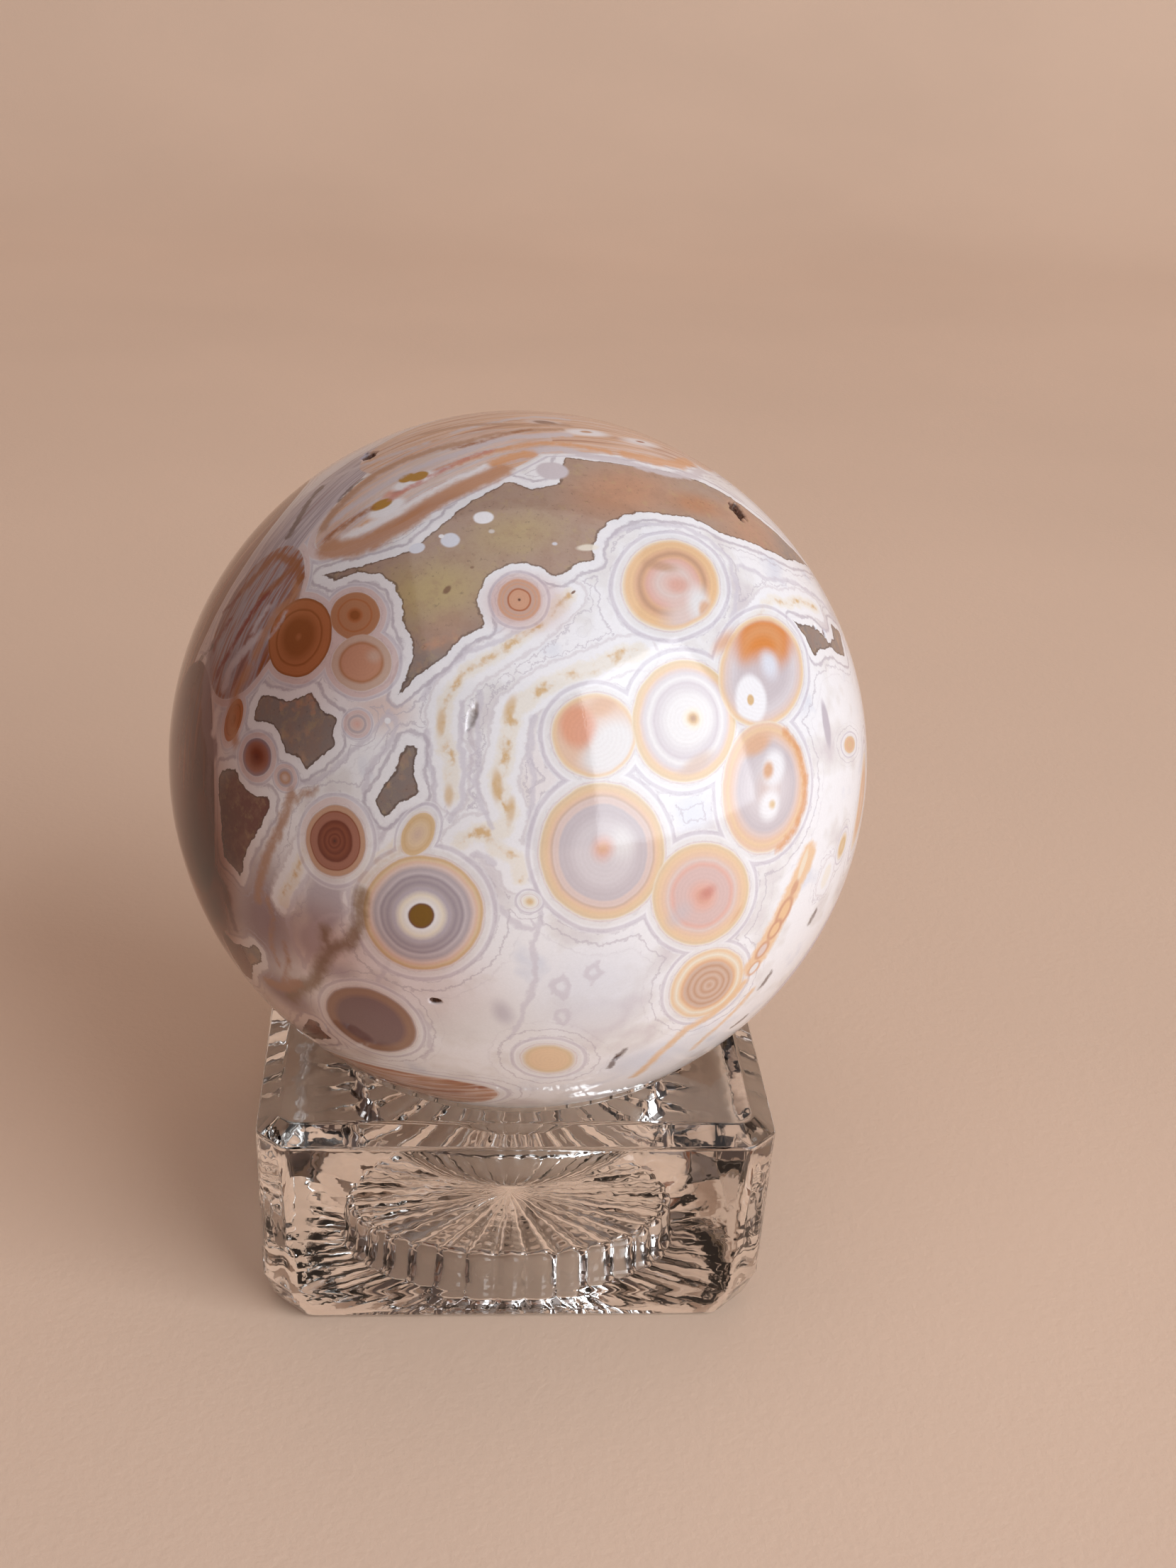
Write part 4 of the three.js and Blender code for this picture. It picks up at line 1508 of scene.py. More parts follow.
    def windows(self, place: Socket, colour: Socket, edge: Socket) -> Socket:
        """Opens the clear grey windows in the white rock, each with a white shore around it.

        Args:
            place: The place, in millimetres.
            colour: The colour of the rock around them.
            edge: The distance outside the nearest window, below 0 inside it.

        Returns:
            The colour with the windows in it.
        """
        sheet = self.sheet
        shore = sheet.between(edge, self.shore_width, 0.6, top=0.8)
        colour = sheet.mix(shore, colour, Tint.SNOW)
        line = sheet.times(sheet.band(edge, self.shore_width, 0.05, 0.18), 0.7)
        colour = sheet.mix(line, colour, Tint.LILAC)
        cloud = sheet.noise(place, 0.35, 4, 0.6)
        clear = sheet.ramp(cloud, (
            (0.32, Tint.POOL_GREY), (0.45, Tint.WINDOW_GREY), (0.6, Tint.WINDOW_GREY),
            (0.72, Tint.POOL_PINK),
        ))
        for spot in POOL_TINTS:
            clear = self.patch(place, clear, spot)
        murk = sheet.between(sheet.noise(place, 0.55, 5, 0.7), 0.44, 0.66, top=0.34)
        clear = sheet.mix(murk, clear, Tint.DUN)
        glow = sheet.between(sheet.noise(place, 0.9, 4, 0.65), 0.52, 0.7, top=0.3)
        clear = sheet.mix(glow, clear, Tint.POOL_OLIVE)
        speck = sheet.between(sheet.noise(place, 2.6, 3, 0.7), 0.58, 0.75, top=0.4)
        clear = sheet.mix(speck, clear, Tint.SEAM)
        seam = sheet.times(sheet.band(edge, -0.06, 0.03, 0.12), 0.55)
        clear = sheet.mix(seam, clear, Tint.SEAM)
        return sheet.mix(sheet.between(edge, 0.04, -0.04), colour, clear)

    def rinds(self, place: Socket, colour: Socket, nearest: Socket) -> Socket:
        """Draws the rind around every orb: a band that is rosy on the left side, and a lilac line.

        Args:
            place: The place, in millimetres.
            colour: The colour of the rock outside the rinds.
            nearest: The distance outside the nearest orb's rim.

        Returns:
            The colour with the rinds on it.
        """
        sheet = self.sheet
        share = sheet.math("DIVIDE", nearest, self.rind_end)
        rind = sheet.ramp(share, (
            (0.0, Tint.BLUSH), (0.1, Tint.MILK), (0.3, Tint.MILK), (0.46, Tint.SNOW),
            (0.58, Tint.RIND_LINE), (0.74, Tint.RIND_LINE), (0.88, Tint.SNOW), (1.0, Tint.SNOW),
        ))
        near = sheet.between(self.closeness(place, ROSY_SIDE), 0.0, ROSY_SIDE.softness)
        rosy = sheet.times(sheet.between(share, 0.56, 0.42), near)
        rind = sheet.mix(rosy, rind, ROSY_SIDE.tint)
        return sheet.mix(sheet.between(share, 1.0, 0.8, top=0.68), colour, rind)

    def window_distance(self, still: Socket, nearest: Socket, hidden: Socket) -> Socket:
        """Measures how far a place is outside the windows, on the side that shows and the other.

        Args:
            still: The place, in millimetres.
            nearest: The distance outside the nearest orb's rim.
            hidden: 1 on the hidden side, and 0 on the side that shows.

        Returns:
            The distance, below 0 inside a window.
        """
        sheet = self.sheet
        rough_place = sheet.drift(still, 0.8, 0.5, 3)
        ripple = sheet.math("MULTIPLY_ADD", sheet.noise(rough_place, 0.85, 3, 0.6), 0.85, -0.425)
        zone = sheet.between(sheet.noise(still, 0.07, 2), 0.5, 0.6, top=3.0)
        reach = sheet.times(zone, hidden)
        gap = sheet.math("SUBTRACT", self.hidden_window_gap, reach)
        far_edge = sheet.math("SUBTRACT", gap, nearest)
        cover = sheet.math("MULTIPLY_ADD", hidden, -self.window_cover, self.window_cover)
        far_edge = sheet.math("ADD", far_edge, cover)
        edge = sheet.math("MINIMUM", sheet.attribute("window_edge"), far_edge)
        return sheet.math("ADD", edge, ripple)

    def colour(self, still: Socket, pit: Socket) -> Socket:
        """Colours the rock.

        Args:
            still: The place, in millimetres.
            pit: 1 inside an open pit, and 0 on the polish.

        Returns:
            The colour.
        """
        sheet = self.sheet
        place = sheet.drift(still, 0.35, self.waver, 3)
        hidden = sheet.attribute("hidden_side")
        orb_colour, nearest_orb = self.orbs(place)
        far_colour, far_inside, far_outside = self.hidden_orbs(place, hidden)
        nearest = sheet.math("MINIMUM", nearest_orb, far_outside)
        edge = self.window_distance(still, nearest, hidden)
        colour = self.white_rock(place, nearest, edge, hidden)
        colour = self.windows(still, colour, edge)
        colour = self.rinds(place, colour, nearest)
        colour = sheet.mix(far_inside, colour, far_colour)
        colour = sheet.mix(sheet.between(nearest_orb, 0.02, -0.1), colour, orb_colour)
        # Rings too fine to be placed one by one.
        rings = sheet.math("SINE", sheet.times(nearest, math.tau / self.fine_ring_pitch))
        within = sheet.between(nearest, 0.0, -0.3, top=self.fine_ring_strength)
        fine = sheet.times(sheet.math("MULTIPLY_ADD", rings, 0.5, 0.5), within)
        colour = sheet.mix(fine, colour, Tint.BRICK, "MULTIPLY")
        colour = self.strokes(place, colour)
        for spot in DROPS:
            colour = self.patch(place, colour, spot)
        # Painted shade over the left side, with the stone's brown stains in it, multiplied over the
        # colour.
        for stain in SHADE_AND_STAINS:
            colour = self.patch(place, colour, stain, blend="MULTIPLY")
        grain = sheet.noise(still, 5.0, 5, 0.7)
        shade = sheet.math("MULTIPLY_ADD", grain, 0.16, 0.92)
        made_grey = sheet.node("CombineColor")
        for socket in made_grey.inputs[:3]:
            sheet.feed(socket, shade)
        colour = sheet.mix(1.0, colour, made_grey.outputs[0], "MULTIPLY")
        druse = sheet.ramp(sheet.noise(still, 3.0, 3, 0.7), (
            (0.35, Tint.PIT), (0.55, Tint.UMBER), (0.75, Tint.SMOKE),
        ))
        druse = self.patch(still, druse, PALE_DRUSE)
        return sheet.mix(pit, colour, druse)

    def material(self) -> bpy.types.Material:
        """Makes the stone's material.

        Returns:
            The finished material.
        """
        sheet = self.sheet
        still = sheet.place()
        sunk = sheet.math("SUBTRACT", self.radius, sheet.length(still))
        pit = sheet.between(sunk, 0.05, 0.25)
        shader = sheet.node("BsdfPrincipled")
        wear = sheet.math("MULTIPLY_ADD", sheet.noise(still, 0.25, 3, 0.6), 0.03, self.polish)
        rough = sheet.times(pit, self.pit_roughness)
        strength = sheet.math("MULTIPLY_ADD", pit, 0.5, 0.02)
        sheet.fill(shader, {
            "Base Color": self.colour(still, pit),
            "Roughness": sheet.math("MAXIMUM", wear, rough),
            "IOR": self.ior,
            "Normal": sheet.relief(strength, self.relief_height, sheet.noise(still, 4.0, 3, 0.6)),
        })
        return sheet.finish(shader.outputs["BSDF"])


@dataclass(frozen=True)
class ClearGlassFinish:
    """Clear pressed glass with the faint waves that a mould leaves."""

    ior: float = 1.5
    roughness: float = 0.015
    wave_scale: float = 0.35
    wave_height: float = 0.00012
    surface: Rgb = (0.985, 0.98, 0.97)
    tint: Rgb = (0.93, 0.91, 0.87)
    density: float = 5.0

    def material(self) -> bpy.types.Material:
        """Makes the glass.

        Returns:
            The finished material.
        """
        sheet = Sheet("clear_pressed_glass")
        place = sheet.place()
        shader = sheet.node("BsdfPrincipled")
        smear = sheet.noise(place, 0.5, 3)
        sheet.fill(shader, {
            "Base Color": self.surface,
            "Transmission Weight": 1.0,
            "IOR": self.ior,
            "Roughness": sheet.math("MULTIPLY_ADD", smear, 0.02, self.roughness),
            "Normal": sheet.relief(0.5, self.wave_height, sheet.noise(place, self.wave_scale, 2)),
        })
        absorb = sheet.node("VolumeAbsorption")
        sheet.fill(absorb, {"Color": self.tint, "Density": self.density})
        return sheet.finish(shader.outputs["BSDF"], absorb.outputs["Volume"])


@dataclass(frozen=True)
class Pit:
    """An open pit in the polish, with its sizes in millimetres.

    Around is degrees from the front towards +X, and up is degrees above the stone's equator.
    """

    around: float
    up: float
    length: float
    width: float
    depth: float
    turn: float

    def axes(self) -> tuple[Vector, Vector, Vector]:
        """Works out how the pit lies.

        Returns:
            The directions along it, across it and outwards.
        """
        outward = bearing(self.around, self.up)
        level = bearing(self.around + 90, 0)
        along = Matrix.Rotation(math.radians(self.turn), 3, outward) @ level
        return along, outward.cross(along), outward


PITS = (
    Pit(75.5, 55, 2.7, 2.1, 1.2, 15),
    Pit(-90.5, 64, 2.4, 1.5, 0.8, 5),
    Pit(-14.5, -14, 1.1, 0.7, 0.5, 10),
    Pit(66.5, 34, 0.8, 0.6, 0.5, 0),
    Pit(69.5, 32, 0.8, 0.7, 0.5, 30),
    Pit(-11, 30.5, 2.2, 0.7, 0.5, 80),
    Pit(16, -28, 1.4, 0.5, 0.4, 60),
    Pit(150, 24, 2.6, 1.3, 0.9, 35),
    Pit(-152, 6, 1.8, 1.2, 0.8, 120),
    Pit(118, -22, 1.5, 0.8, 0.6, 70),
)


@dataclass
class Stone:
    """The polished ball: a fine geodesic mesh with its open pits sunk into it."""

    radius: float
    centre: Vector
    splits: int = 91
    pit_splits: int = 2
    reach: float = 7.0
    hidden_fade: float = 0.12
    rim_raggedness: float = 0.45
    rim_waves: float = 1.7
    wall_share: float = 0.35
    floor_roughness: float = 0.3
    floor_waves: float = 3.1
    view: PhotoView = PhotoView()

    def build(self) -> bpy.types.Object:
        """Makes the stone's mesh and dresses it.

        Returns:
            The stone.
        """
        shell = bmesh.new()
        bmesh.ops.create_icosphere(shell, subdivisions=1, radius=self.radius)
        bmesh.ops.subdivide_edges(shell, edges=shell.edges[:], cuts=self.splits, use_grid_fill=True)
        self.refine(shell)
        bmesh.ops.triangulate(shell, faces=[f for f in shell.faces if len(f.verts) > 3])
        bmesh.ops.recalc_face_normals(shell, faces=shell.faces[:])
        mesh = bpy.data.meshes.new("jasper_ball")
        shell.to_mesh(mesh)
        shell.free()
        points = np.empty(len(mesh.vertices) * 3, np.float32)
        mesh.vertices.foreach_get("co", points)
        points = points.reshape(-1, 3).astype(float)
        points *= self.radius / np.linalg.norm(points, axis=1)[:, None]
        for pit in PITS:
            self.sink(points, pit)
        mesh.vertices.foreach_set("co", points.astype(np.float32).ravel())
        mesh.shade_smooth()
        self.mark(mesh, points)
        mesh.transform(Matrix.Scale(MM, 4))
        stone = placed("jasper_ball", mesh)
        stone.location = self.centre
        mesh.materials.append(JasperFinish(self.radius).material())
        return stone

    def refine(self, shell: bmesh.types.BMesh) -> None:
        """Splits the faces about the pits, so that their walls are smooth.

        Args:
            shell: The stone's mesh, before it is rounded.
        """
        shell.verts.ensure_lookup_table()
        corners = np.array([vert.co for vert in shell.verts])
        corners /= np.linalg.norm(corners, axis=1)[:, None]
        near = np.zeros(len(corners), bool)
        for pit in PITS:
            room = math.cos((pit.length * 0.75 + 0.3) / self.radius)
            near |= corners @ np.array(pit.axes()[2]) > room
        edges = {edge for i in np.flatnonzero(near) for edge in shell.verts[i].link_edges}
        bmesh.ops.subdivide_edges(
            shell, edges=list(edges), cuts=self.pit_splits, use_grid_fill=True,
        )

    def sink(self, points: np.ndarray, pit: Pit) -> None:
        """Pushes the surface in over a pit, with a ragged rim and a rough floor.

        Args:
            points: The mesh's points, in millimetres.
            pit: The pit.
        """
        along, across, outward = (np.array(axis) for axis in pit.axes())
        offsets = points - outward * self.radius
        for i in np.flatnonzero(np.linalg.norm(offsets, axis=1) < pit.length):
            share = math.hypot(
                offsets[i] @ along * 2 / pit.length,
                offsets[i] @ across * 2 / pit.width,
            )
            share += self.rim_raggedness * noise.noise(points[i] * self.rim_waves)
            if share >= 1:
                continue
            wall = min((1 - share) / self.wall_share, 1)
            floor = 0.85 + self.floor_roughness * noise.noise(points[i] * self.floor_waves)
            points[i] *= 1 - pit.depth * wall * floor / self.radius

    def mark(self, mesh: bpy.types.Mesh, points: np.ndarray) -> None:
        """Stores how far each point of the mesh is from the windows, streaks and growth lines.

        Args:
            mesh: The stone's mesh.
            points: Its points, in millimetres.
        """
        eye = np.array(self.view.eye_mm)
        eye /= np.linalg.norm(eye)
        facing = points @ eye / self.radius
        self.store(mesh, "hidden_side", np.clip(1 - facing / self.hidden_fade, 0, 1))
        self.store(mesh, "window_edge", self.window_edges(points))
        self.store(mesh, "vein_edge", self.streak_edges(points, VEINS))
        for brush in BRUSHES:
            self.store(mesh, brush.name, self.streak_edges(points, brush.streaks))
        far = np.full(len(points), OUT_OF_REACH_MM)
        side = np.full(len(points), OUT_OF_REACH_MM)
        for line in GROWTH_LINES:
            apart, signed = self.beside(points, line.path)
            closer = apart < far
            far[closer] = apart[closer]
            side[closer] = signed[closer]
        self.store(mesh, "line_far", far)
        self.store(mesh, "line_side", side)

    def streak_edges(self, points: np.ndarray, streaks: tuple[Streak, ...]) -> np.ndarray:
        """Measures how far points are outside the nearest of some streaks.

        Args:
            points: The points, in millimetres.
            streaks: The streaks.

        Returns:
            The distance outside the nearest streak, below 0 inside it.
        """
        edge = np.full(len(points), OUT_OF_REACH_MM)
        for streak in streaks:
            log.debug("streak: %s", streak.name)
            apart, _ = self.beside(points, streak.path)
            edge = np.minimum(edge, apart - streak.half_width)
        return edge

    def store(self, mesh: bpy.types.Mesh, name: str, values: np.ndarray) -> None:
        """Keeps one number for each point of a mesh."""
        layer = mesh.attributes.new(name, "FLOAT", "POINT")
        layer.data.foreach_set("value", values.astype(np.float32))

    def steps(self, path: tuple[Pixel, ...], pace: float = 1.5) -> np.ndarray:
        """Walks along a path over the stone in short steps.

        Args:
            path: The path's corners, in the photograph.
            pace: The longest step, in millimetres.

        Returns:
            Points on the stone along the path.
        """
        corners = [self.view.on_stone(pixel, self.radius) for pixel in path]
        walk = [corners[0]]
        for start, end in zip(corners, corners[1:]):
            count = max(1, math.ceil((end - start).length / pace))
            for step in range(1, count + 1):
                walk.append(start.lerp(end, step / count).normalized() * self.radius)
        return np.array(walk)

    def beside(self, points: np.ndarray, path: tuple[Pixel, ...]) -> tuple[np.ndarray, np.ndarray]:
        """Measures how far points are from a path.

        Args:
            points: The points, in millimetres.
            path: The path's corners, in the photograph.

        Returns:
            The distance to the path, and the same with a sign for the side of the path.
        """
        walk = self.steps(path)
        apart = np.full(len(points), OUT_OF_REACH_MM)
        signed = np.full(len(points), OUT_OF_REACH_MM)
        middle = walk.mean(axis=0)
        room = np.linalg.norm(walk - middle, axis=1).max() + self.reach
        near = np.flatnonzero(np.linalg.norm(points - middle, axis=1) < room)
        places = points[near]
        closest = np.full(len(places), OUT_OF_REACH_MM)
        sides = np.full(len(places), OUT_OF_REACH_MM)
        for start, end in zip(walk, walk[1:]):
            run = end - start
            span = run @ run
            if span < 1e-12:
                continue
            offset = places - start
            along = np.clip(offset @ run / span, 0, 1)
            gap = offset - along[:, None] * run
            distance = np.linalg.norm(gap, axis=1)
            left = np.cross(start, run)
            side = offset @ (left / np.linalg.norm(left))
            closer = distance < closest
            closest[closer] = distance[closer]
            sides[closer] = side[closer]
        apart[near] = closest
        signed[near] = sides
        return apart, signed

    def window_edges(self, points: np.ndarray) -> np.ndarray:
        """Measures how far points are outside the windows.

        Args:
            points: The points, in millimetres.

        Returns:
            The distance outside the nearest window, below 0 inside it.
        """
        edge = np.full(len(points), OUT_OF_REACH_MM)
        for window in WINDOWS:
            log.debug("window: %s", window.name)
            outline = (*window.outline, window.outline[0])
            apart, _ = self.beside(points, outline)
            inside = self.enclosed(points, self.steps(outline))
            edge = np.minimum(edge, np.where(inside, -apart, apart))
        return edge

    def enclosed(self, points: np.ndarray, outline: np.ndarray) -> np.ndarray:
        """Finds the points that an outline on the stone encloses.

        Args:
            points: The points, in millimetres.
            outline: Points along the closed outline, in millimetres.

        Returns:
            True for each point inside.
        """
        middle = outline.mean(axis=0)
        middle /= np.linalg.norm(middle)
        level = np.cross((0.0, 0.0, 1.0), middle)
        level /= np.linalg.norm(level)
        rise = np.cross(middle, level)
        near = points @ middle > 0.2 * self.radius
        inside = np.zeros(len(points), bool)
        flat = points[near] / (points[near] @ middle)[:, None]
        x = flat @ level
        y = flat @ rise
        ring = outline / (outline @ middle)[:, None]
        ring_x = ring @ level
        ring_y = ring @ rise
        crossed = np.zeros(len(x), bool)
        for x1, y1, x2, y2 in zip(ring_x, ring_y, ring_x[1:], ring_y[1:]):
            if y1 == y2:
                continue
            spans = (y1 > y) != (y2 > y)
            crossed ^= spans & (x < x1 + (y - y1) * (x2 - x1) / (y2 - y1))
        inside[near] = crossed
        return inside


@dataclass
class GlassStand:
    """The square pressed-glass stand: a block with soft edges, a round bowl and a fluted recess.

    Sizes are in millimetres. Half is half the width across two opposite sides, and corner is how
    far each corner is cut back along a side.
    """

    height: float = 21.5
    rim_half: float = 21.9
    rim_corner: float = 1.05
    shoulder_half: float = 24.1
    shoulder_corner: float = 2.5
    shoulder_height: float = 20.1
    wall_foot_half: float = 23.8
    wall_foot_corner: float = 3.1
    foot_height: float = 3.4
    floor_half: float = 22.9
    floor_corner: float = 3.5
    corner_sharpness: float = 170.0
    bowl_rim_radius: float = 19.7
    bowl_depth: float = 14.3
    lip_radius: float = 0.6
    recess_radius: float = 16.0
    recess_height: float = 4.6
    flutes: int = 32
    flute_bulge: float = 0.55
    flute_steps: int = 12
    wall_draft: float = 0.35
    ray_depth: float = 0.45
    unevenness: float = 0.5
    hammering: float = 0.04
    hub_radius: float = 2.2
    ceiling_rise: float = 0.25
    edge_round: float = 0.3
    top_land: float = 1.2
    foot_land: float = 1.6
    mouth_flare: float = 0.35
    bowl_steps: int = 28
    lip_steps: int = 8
    mouth_steps: int = 8
    ceiling_steps: int = 25

    def angles(self) -> np.ndarray:
        """Gives the bearings of a ring's points, evenly spaced."""
        count = self.flutes * self.flute_steps
        return np.arange(count) * math.tau / count

    def square(self, half: float, corner: float, height: float) -> np.ndarray:
        """Makes a level ring round the block, with its corners cut back and softened.

        Args:
            half: Half the width across two opposite sides.
            corner: How far each corner is cut back along a side.
            height: The ring's height.

        Returns:
            The ring's points.
        """
        angles = self.angles()
        cut = (2 * half - corner) / math.sqrt(2)
        total = np.zeros(len(angles))
        for side in range(4):
            for facing, away in ((side * math.pi / 2, half), ((side + 0.5) * math.pi / 2, cut)):
                lean = np.clip(np.cos(angles - facing), 0, None) * half / away
                total += lean ** self.corner_sharpness
        reach = half * total ** (-1 / self.corner_sharpness)
        return self.ring(reach, height)

    def ring(self, reach: np.ndarray | float, height: np.ndarray | float) -> np.ndarray:
        """Makes a ring about the stand's axis.

        Args:
            reach: How far out its points are.
            height: How high they are.

        Returns:
            The ring's points.
        """
        angles = self.angles()
        reach = np.broadcast_to(reach, angles.shape)
        height = np.broadcast_to(height, angles.shape)
        return np.stack((reach * np.cos(angles), reach * np.sin(angles), height), axis=1)

    def outer_rings(self) -> list[np.ndarray]:
        """Makes the outside of the block, from the lip down to the floor.

        Returns:
            The rings, each softened where two faces meet.
        """
        levels = (
            (self.rim_half, self.rim_corner, self.height),
            (self.shoulder_half, self.shoulder_corner, self.shoulder_height),
            (self.wall_foot_half, self.wall_foot_corner, self.foot_height),
            (self.floor_half, self.floor_corner, 0.0),
        )
        inner_top = (self.rim_half - self.top_land, self.rim_corner, self.height)
        inner_floor = (self.floor_half - self.foot_land, self.floor_corner, 0.0)
        path = [np.array(level) for level in (inner_top, *levels, inner_floor)]
        rings = [self.square(*path[0])]
        for before, at, after in zip(path, path[1:], path[2:]):
            rings += [self.square(*level) for level in self.softened(before, at, after)]
        rings.append(self.square(*path[-1]))
        return rings

    def softened(self, before: np.ndarray, at: np.ndarray, after: np.ndarray) -> list[np.ndarray]:
        """Rounds the turn of a profile at one of its corners.

        Args:
            before: The profile's point before the corner.
            at: The corner.
            after: The point after it.

        Returns:
            Points round the corner.
        """
        start = at + (before - at) * min(self.edge_round / np.linalg.norm(before - at), 0.45)
        end = at + (after - at) * min(self.edge_round / np.linalg.norm(after - at), 0.45)
        shares = (0.0, 0.25, 0.5, 0.75, 1.0)
        return [start * (1 - s) ** 2 + at * 2 * s * (1 - s) + end * s * s for s in shares]

    def bowl_rings(self) -> list[np.ndarray]:
        """Makes the bowl, from its middle up over the rounded lip.

        Returns:
            The rings.
        """
        rim = self.bowl_rim_radius
        radius = (rim * rim + self.bowl_depth * self.bowl_depth) / (2 * self.bowl_depth)
        centre = self.height - self.bowl_depth + radius
        lip_out = rim + self.lip_radius
        lip_height = self.height - self.lip_radius
        lean = math.asin(min(lip_out / (radius + self.lip_radius), 1))
        rings = []
        for step in range(1, self.bowl_steps + 1):
            tilt = lean * step / self.bowl_steps
            rings.append(self.ring(radius * math.sin(tilt), centre - radius * math.cos(tilt)))
        for step in range(1, self.lip_steps + 1):
            turn = lean + (math.pi - lean) * step / self.lip_steps
            out = lip_out - self.lip_radius * math.sin(turn)
            rings.append(self.ring(out, lip_height + self.lip_radius * -math.cos(turn)))
        return rings

    def recess_rings(self) -> list[np.ndarray]:
        """Makes the recess under the base, from its mouth up the flutes and over the sunburst.

        Returns:
            The rings.
        """
        angles = self.angles()
        lobes = np.abs(np.cos(self.flutes * angles / 2))
        # Waves of unlike counts round the ring, so that no two rays or dimples come out the same.
        uneven = 1 + self.unevenness * (np.sin(5 * angles + 1) + np.sin(11 * angles + 2)) / 2
        fine_rays = 1 - np.abs(np.cos(self.flutes * angles * 1.5))
        span = self.recess_radius - self.wall_draft - self.hub_radius
        rings = []
        for step in range(self.mouth_steps + 1):
            rise = step / self.mouth_steps
            flare = self.mouth_flare * max(0.0, 1 - rise * self.mouth_steps)
            mouth = self.recess_radius - self.wall_draft * rise + flare
            reach = mouth + self.flute_bulge * lobes
            rings.append(self.ring(reach, (self.recess_height - self.ray_depth) * rise))
        for step in range(1, self.ceiling_steps):
            share = 1 - step / self.ceiling_steps
            swell = share ** 0.5
            reach = self.hub_radius + span * share + self.flute_bulge * lobes * swell
            ridge = self.ray_depth * swell * (1 - lobes) * uneven
            hammered = np.sin(step * 1.9 + 3 * np.sin(7 * angles) + 2 * np.sin(13 * angles + 1))
            dimple = self.hammering * swell * (hammered + 1.5 * fine_rays)
            height = self.recess_height + self.ceiling_rise * (1 - share) - ridge - dimple
            rings.append(self.ring(reach, height))
        return rings

    def build(self) -> bpy.types.Object:
        """Makes the stand's mesh as one closed skin and dresses it.

        Returns:
            The stand.
        """
        rings = [*self.bowl_rings(), *self.outer_rings(), *self.recess_rings()]
        count = len(rings[0])
        shell = bmesh.new()
        first = shell.verts.new((0, 0, self.height - self.bowl_depth))
        loops = [[shell.verts.new(point) for point in ring] for ring in rings]
        last = shell.verts.new((0, 0, self.recess_height + self.ceiling_rise))
        for i in range(count):
            after = (i + 1) % count
            shell.faces.new((first, loops[0][i], loops[0][after]))
            for inner, outer in zip(loops, loops[1:]):
                shell.faces.new((inner[i], outer[i], outer[after], inner[after]))
            shell.faces.new((loops[-1][i], last, loops[-1][after]))
        bmesh.ops.recalc_face_normals(shell, faces=shell.faces[:])
        for face in shell.faces:
            face.smooth = True
        mesh = bpy.data.meshes.new("pressed_glass_stand")
        shell.to_mesh(mesh)
        shell.free()
        mesh.transform(Matrix.Scale(MM, 4))
        mesh.materials.append(ClearGlassFinish().material())
        return placed("pressed_glass_stand", mesh)


@dataclass(frozen=True)
class Softbox:
    """A soft studio light that faces the stone, with its sizes in metres.

    An upright one stands straight, as a window does, and is only turned to the stone's side.
    """

    name: str
    around: float
    up: float
    distance: float
    width: float
    height: float
    power: float
    colour: Rgb
    upright: bool = False

    def build(self, target: Vector) -> bpy.types.Object:
        """Hangs the light and turns it to the stone.

        Args:
            target: The middle of the stone.

        Returns:
            The light.
        """
        data = bpy.data.lights.new(self.name, "AREA")
        data.shape = "RECTANGLE"
        data.size = self.width
        data.size_y = self.height
        data.energy = self.power
        data.color = self.colour
        light = placed(self.name, data)
        out = bearing(self.around, self.up)
        light.location = target + out * self.distance
        facing = Vector((-out.x, -out.y, 0)) if self.upright else -out
        light.rotation_euler = facing.to_track_quat("-Z", "Y").to_euler()
        return light


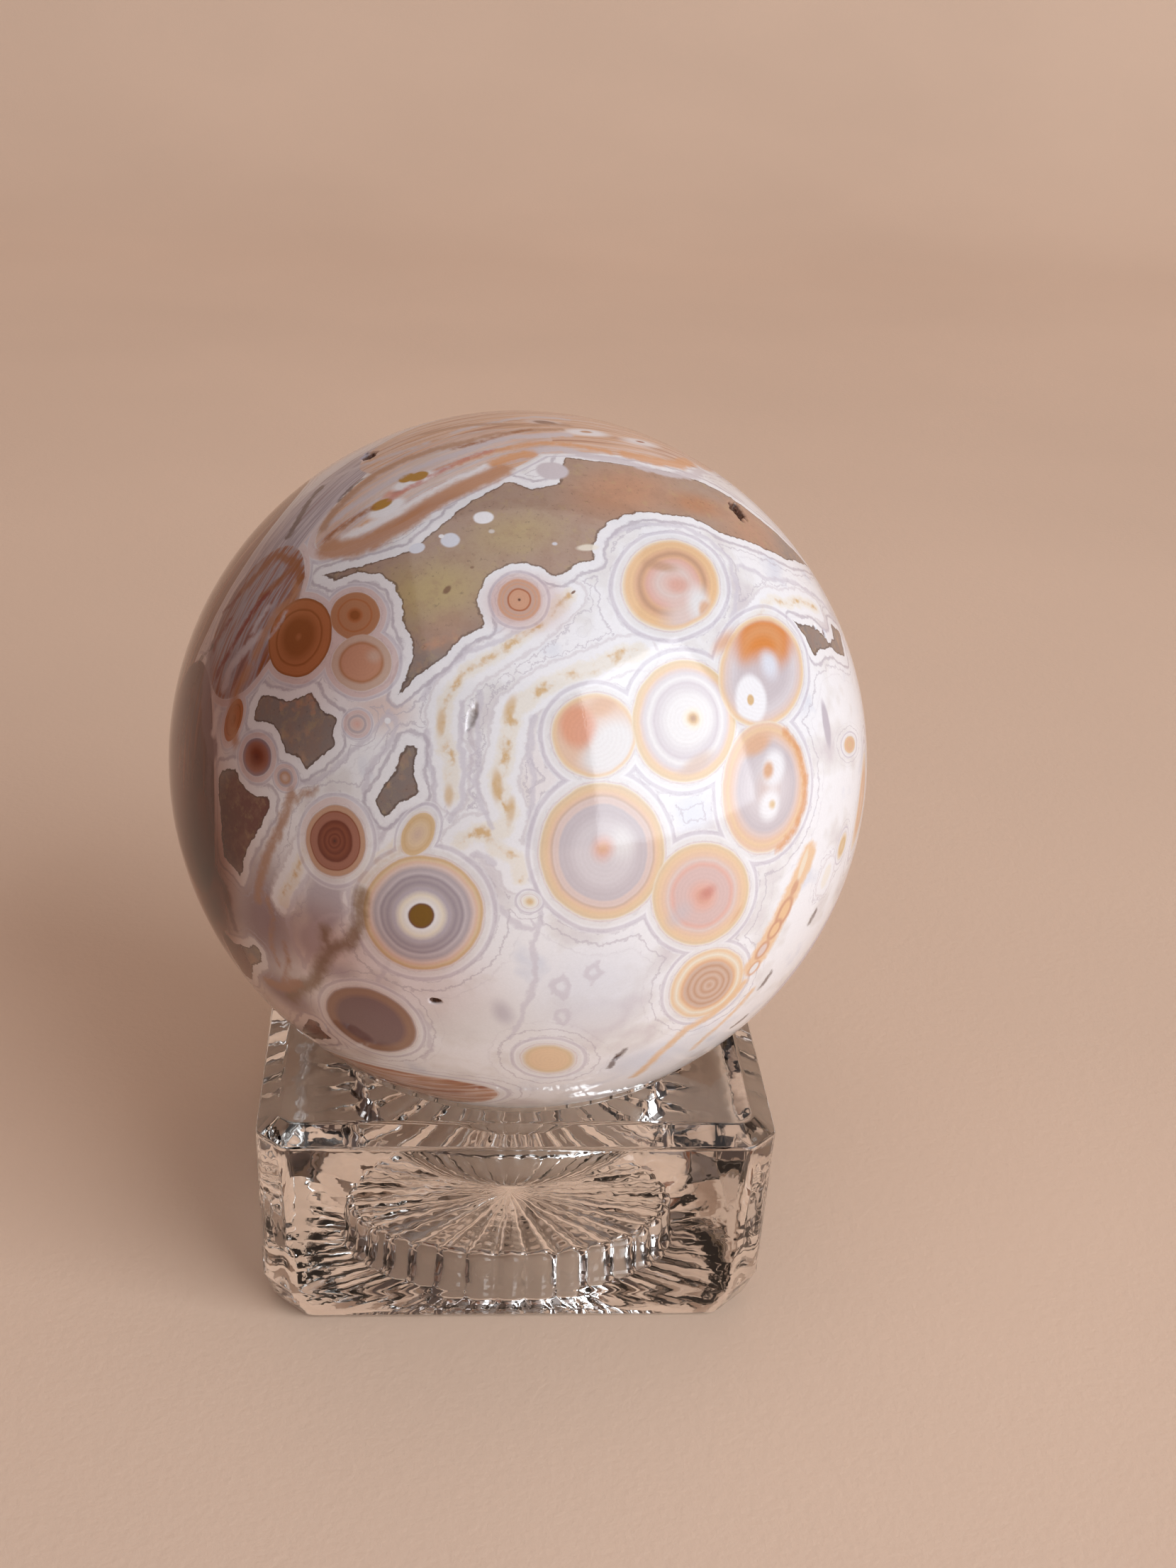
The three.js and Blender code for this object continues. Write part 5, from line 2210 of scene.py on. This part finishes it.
@dataclass
class Studio:
    """The plain pale floor that sweeps up behind the object, two wide soft lights and a dim room.

    Sizes are in metres. The floor lies a hair below the foot of the stand, as paper does under
    pressed glass, which touches it at few points.
    """

    target: Vector
    floor_level: float = -0.0003
    half_width: float = 2.6
    front: float = -2.2
    sweep_start: float = 0.46
    sweep_radius: float = 0.42
    wall_top: float = 1.5
    floor_tint: Rgb = (0.86, 0.65, 0.50)
    room_tint: Rgb = (1.0, 0.62, 0.52)
    room_strength: float = 0.06
    sweep_steps: int = 24
    grain_height: float = 0.0002
    window: Softbox = Softbox(
        "window_light", around=48, up=27, distance=1.25, width=1.12, height=1.4, power=17.6,
        colour=(0.95, 1.0, 1.05), upright=True,
    )
    ceiling: Softbox = Softbox(
        "ceiling_light", around=0, up=80, distance=2.2, width=2.6, height=2.6, power=15.5,
        colour=(1.0, 0.91, 0.9),
    )

    def floor(self) -> bpy.types.Object:
        """Lays the floor with its sweep and wall.

        Returns:
            The floor.
        """
        profile = [(self.front, self.floor_level), (self.sweep_start, self.floor_level)]
        for step in range(1, self.sweep_steps + 1):
            turn = math.pi / 2 * step / self.sweep_steps
            out = self.sweep_start + self.sweep_radius * math.sin(turn)
            profile.append((out, self.floor_level + self.sweep_radius * (1 - math.cos(turn))))
        profile.append((self.sweep_start + self.sweep_radius, self.wall_top))
        points = [(side * self.half_width, y, z) for y, z in profile for side in (-1, 1)]
        faces = [(2 * i, 2 * i + 1, 2 * i + 3, 2 * i + 2) for i in range(len(profile) - 1)]
        mesh = bpy.data.meshes.new("studio_floor")
        mesh.from_pydata(points, [], faces)
        mesh.shade_smooth()
        mesh.materials.append(self.paper())
        floor = placed("studio_floor", mesh)
        return floor

    def paper(self) -> bpy.types.Material:
        """Makes the floor's matt paper, with hardly any clouding and a fine grain.

        Returns:
            The finished material.
        """
        sheet = Sheet("matt_paper")
        place = sheet.place()
        cloud = sheet.noise(place, 0.006, 3, 0.5)
        pale = tuple(min(channel * 1.03, 1) for channel in self.floor_tint)
        dark = tuple(channel * 0.96 for channel in self.floor_tint)
        shader = sheet.node("BsdfPrincipled")
        sheet.fill(shader, {
            "Base Color": sheet.ramp(cloud, ((0.35, dark), (0.65, pale))),
            "Roughness": 0.85,
            "Specular IOR Level": 0.2,
            "Normal": sheet.relief(0.25, self.grain_height, sheet.noise(place, 1.2, 3, 0.6)),
        })
        return sheet.finish(shader.outputs["BSDF"])

    def room(self) -> None:
        """Lights the scene from all sides, dimly."""
        world = bpy.data.worlds.new("studio_room")
        world.use_nodes = True
        background = world.node_tree.nodes["Background"]
        background.inputs["Color"].default_value = (*self.room_tint, 1)
        background.inputs["Strength"].default_value = self.room_strength
        bpy.context.scene.world = world

    def build(self) -> None:
        """Sets up the floor, the room and the lights, and the plain way that colours are shown."""
        self.floor()
        self.room()
        self.window.build(self.target)
        self.ceiling.build(self.target)
        bpy.context.scene.view_settings.view_transform = "Standard"


def dress(piece: bpy.types.Object, node: str) -> None:
    """Puts a piece in a node's place.

    Args:
        piece: The finished piece.
        node: The CAD node that it stands for.
    """
    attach(piece, BODY)
    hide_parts(node)
    log.info("%s stands for %s with %d faces", piece.name, node, len(piece.data.polygons))


def main() -> None:
    """Builds the stone, its stand, the camera and the studio."""
    logging.basicConfig(level=logging.INFO, format="%(message)s")
    low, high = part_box("stone")
    centre = (low + high) / 2
    centre.z = high.z - STONE_RADIUS_MM * MM
    dress(Stone(STONE_RADIUS_MM, centre).build(), "stone")
    dress(GlassStand().build(), "glass_stand")
    PhotoView().camera(centre)
    Studio(centre).build()


if __name__ == "__main__":
    main()
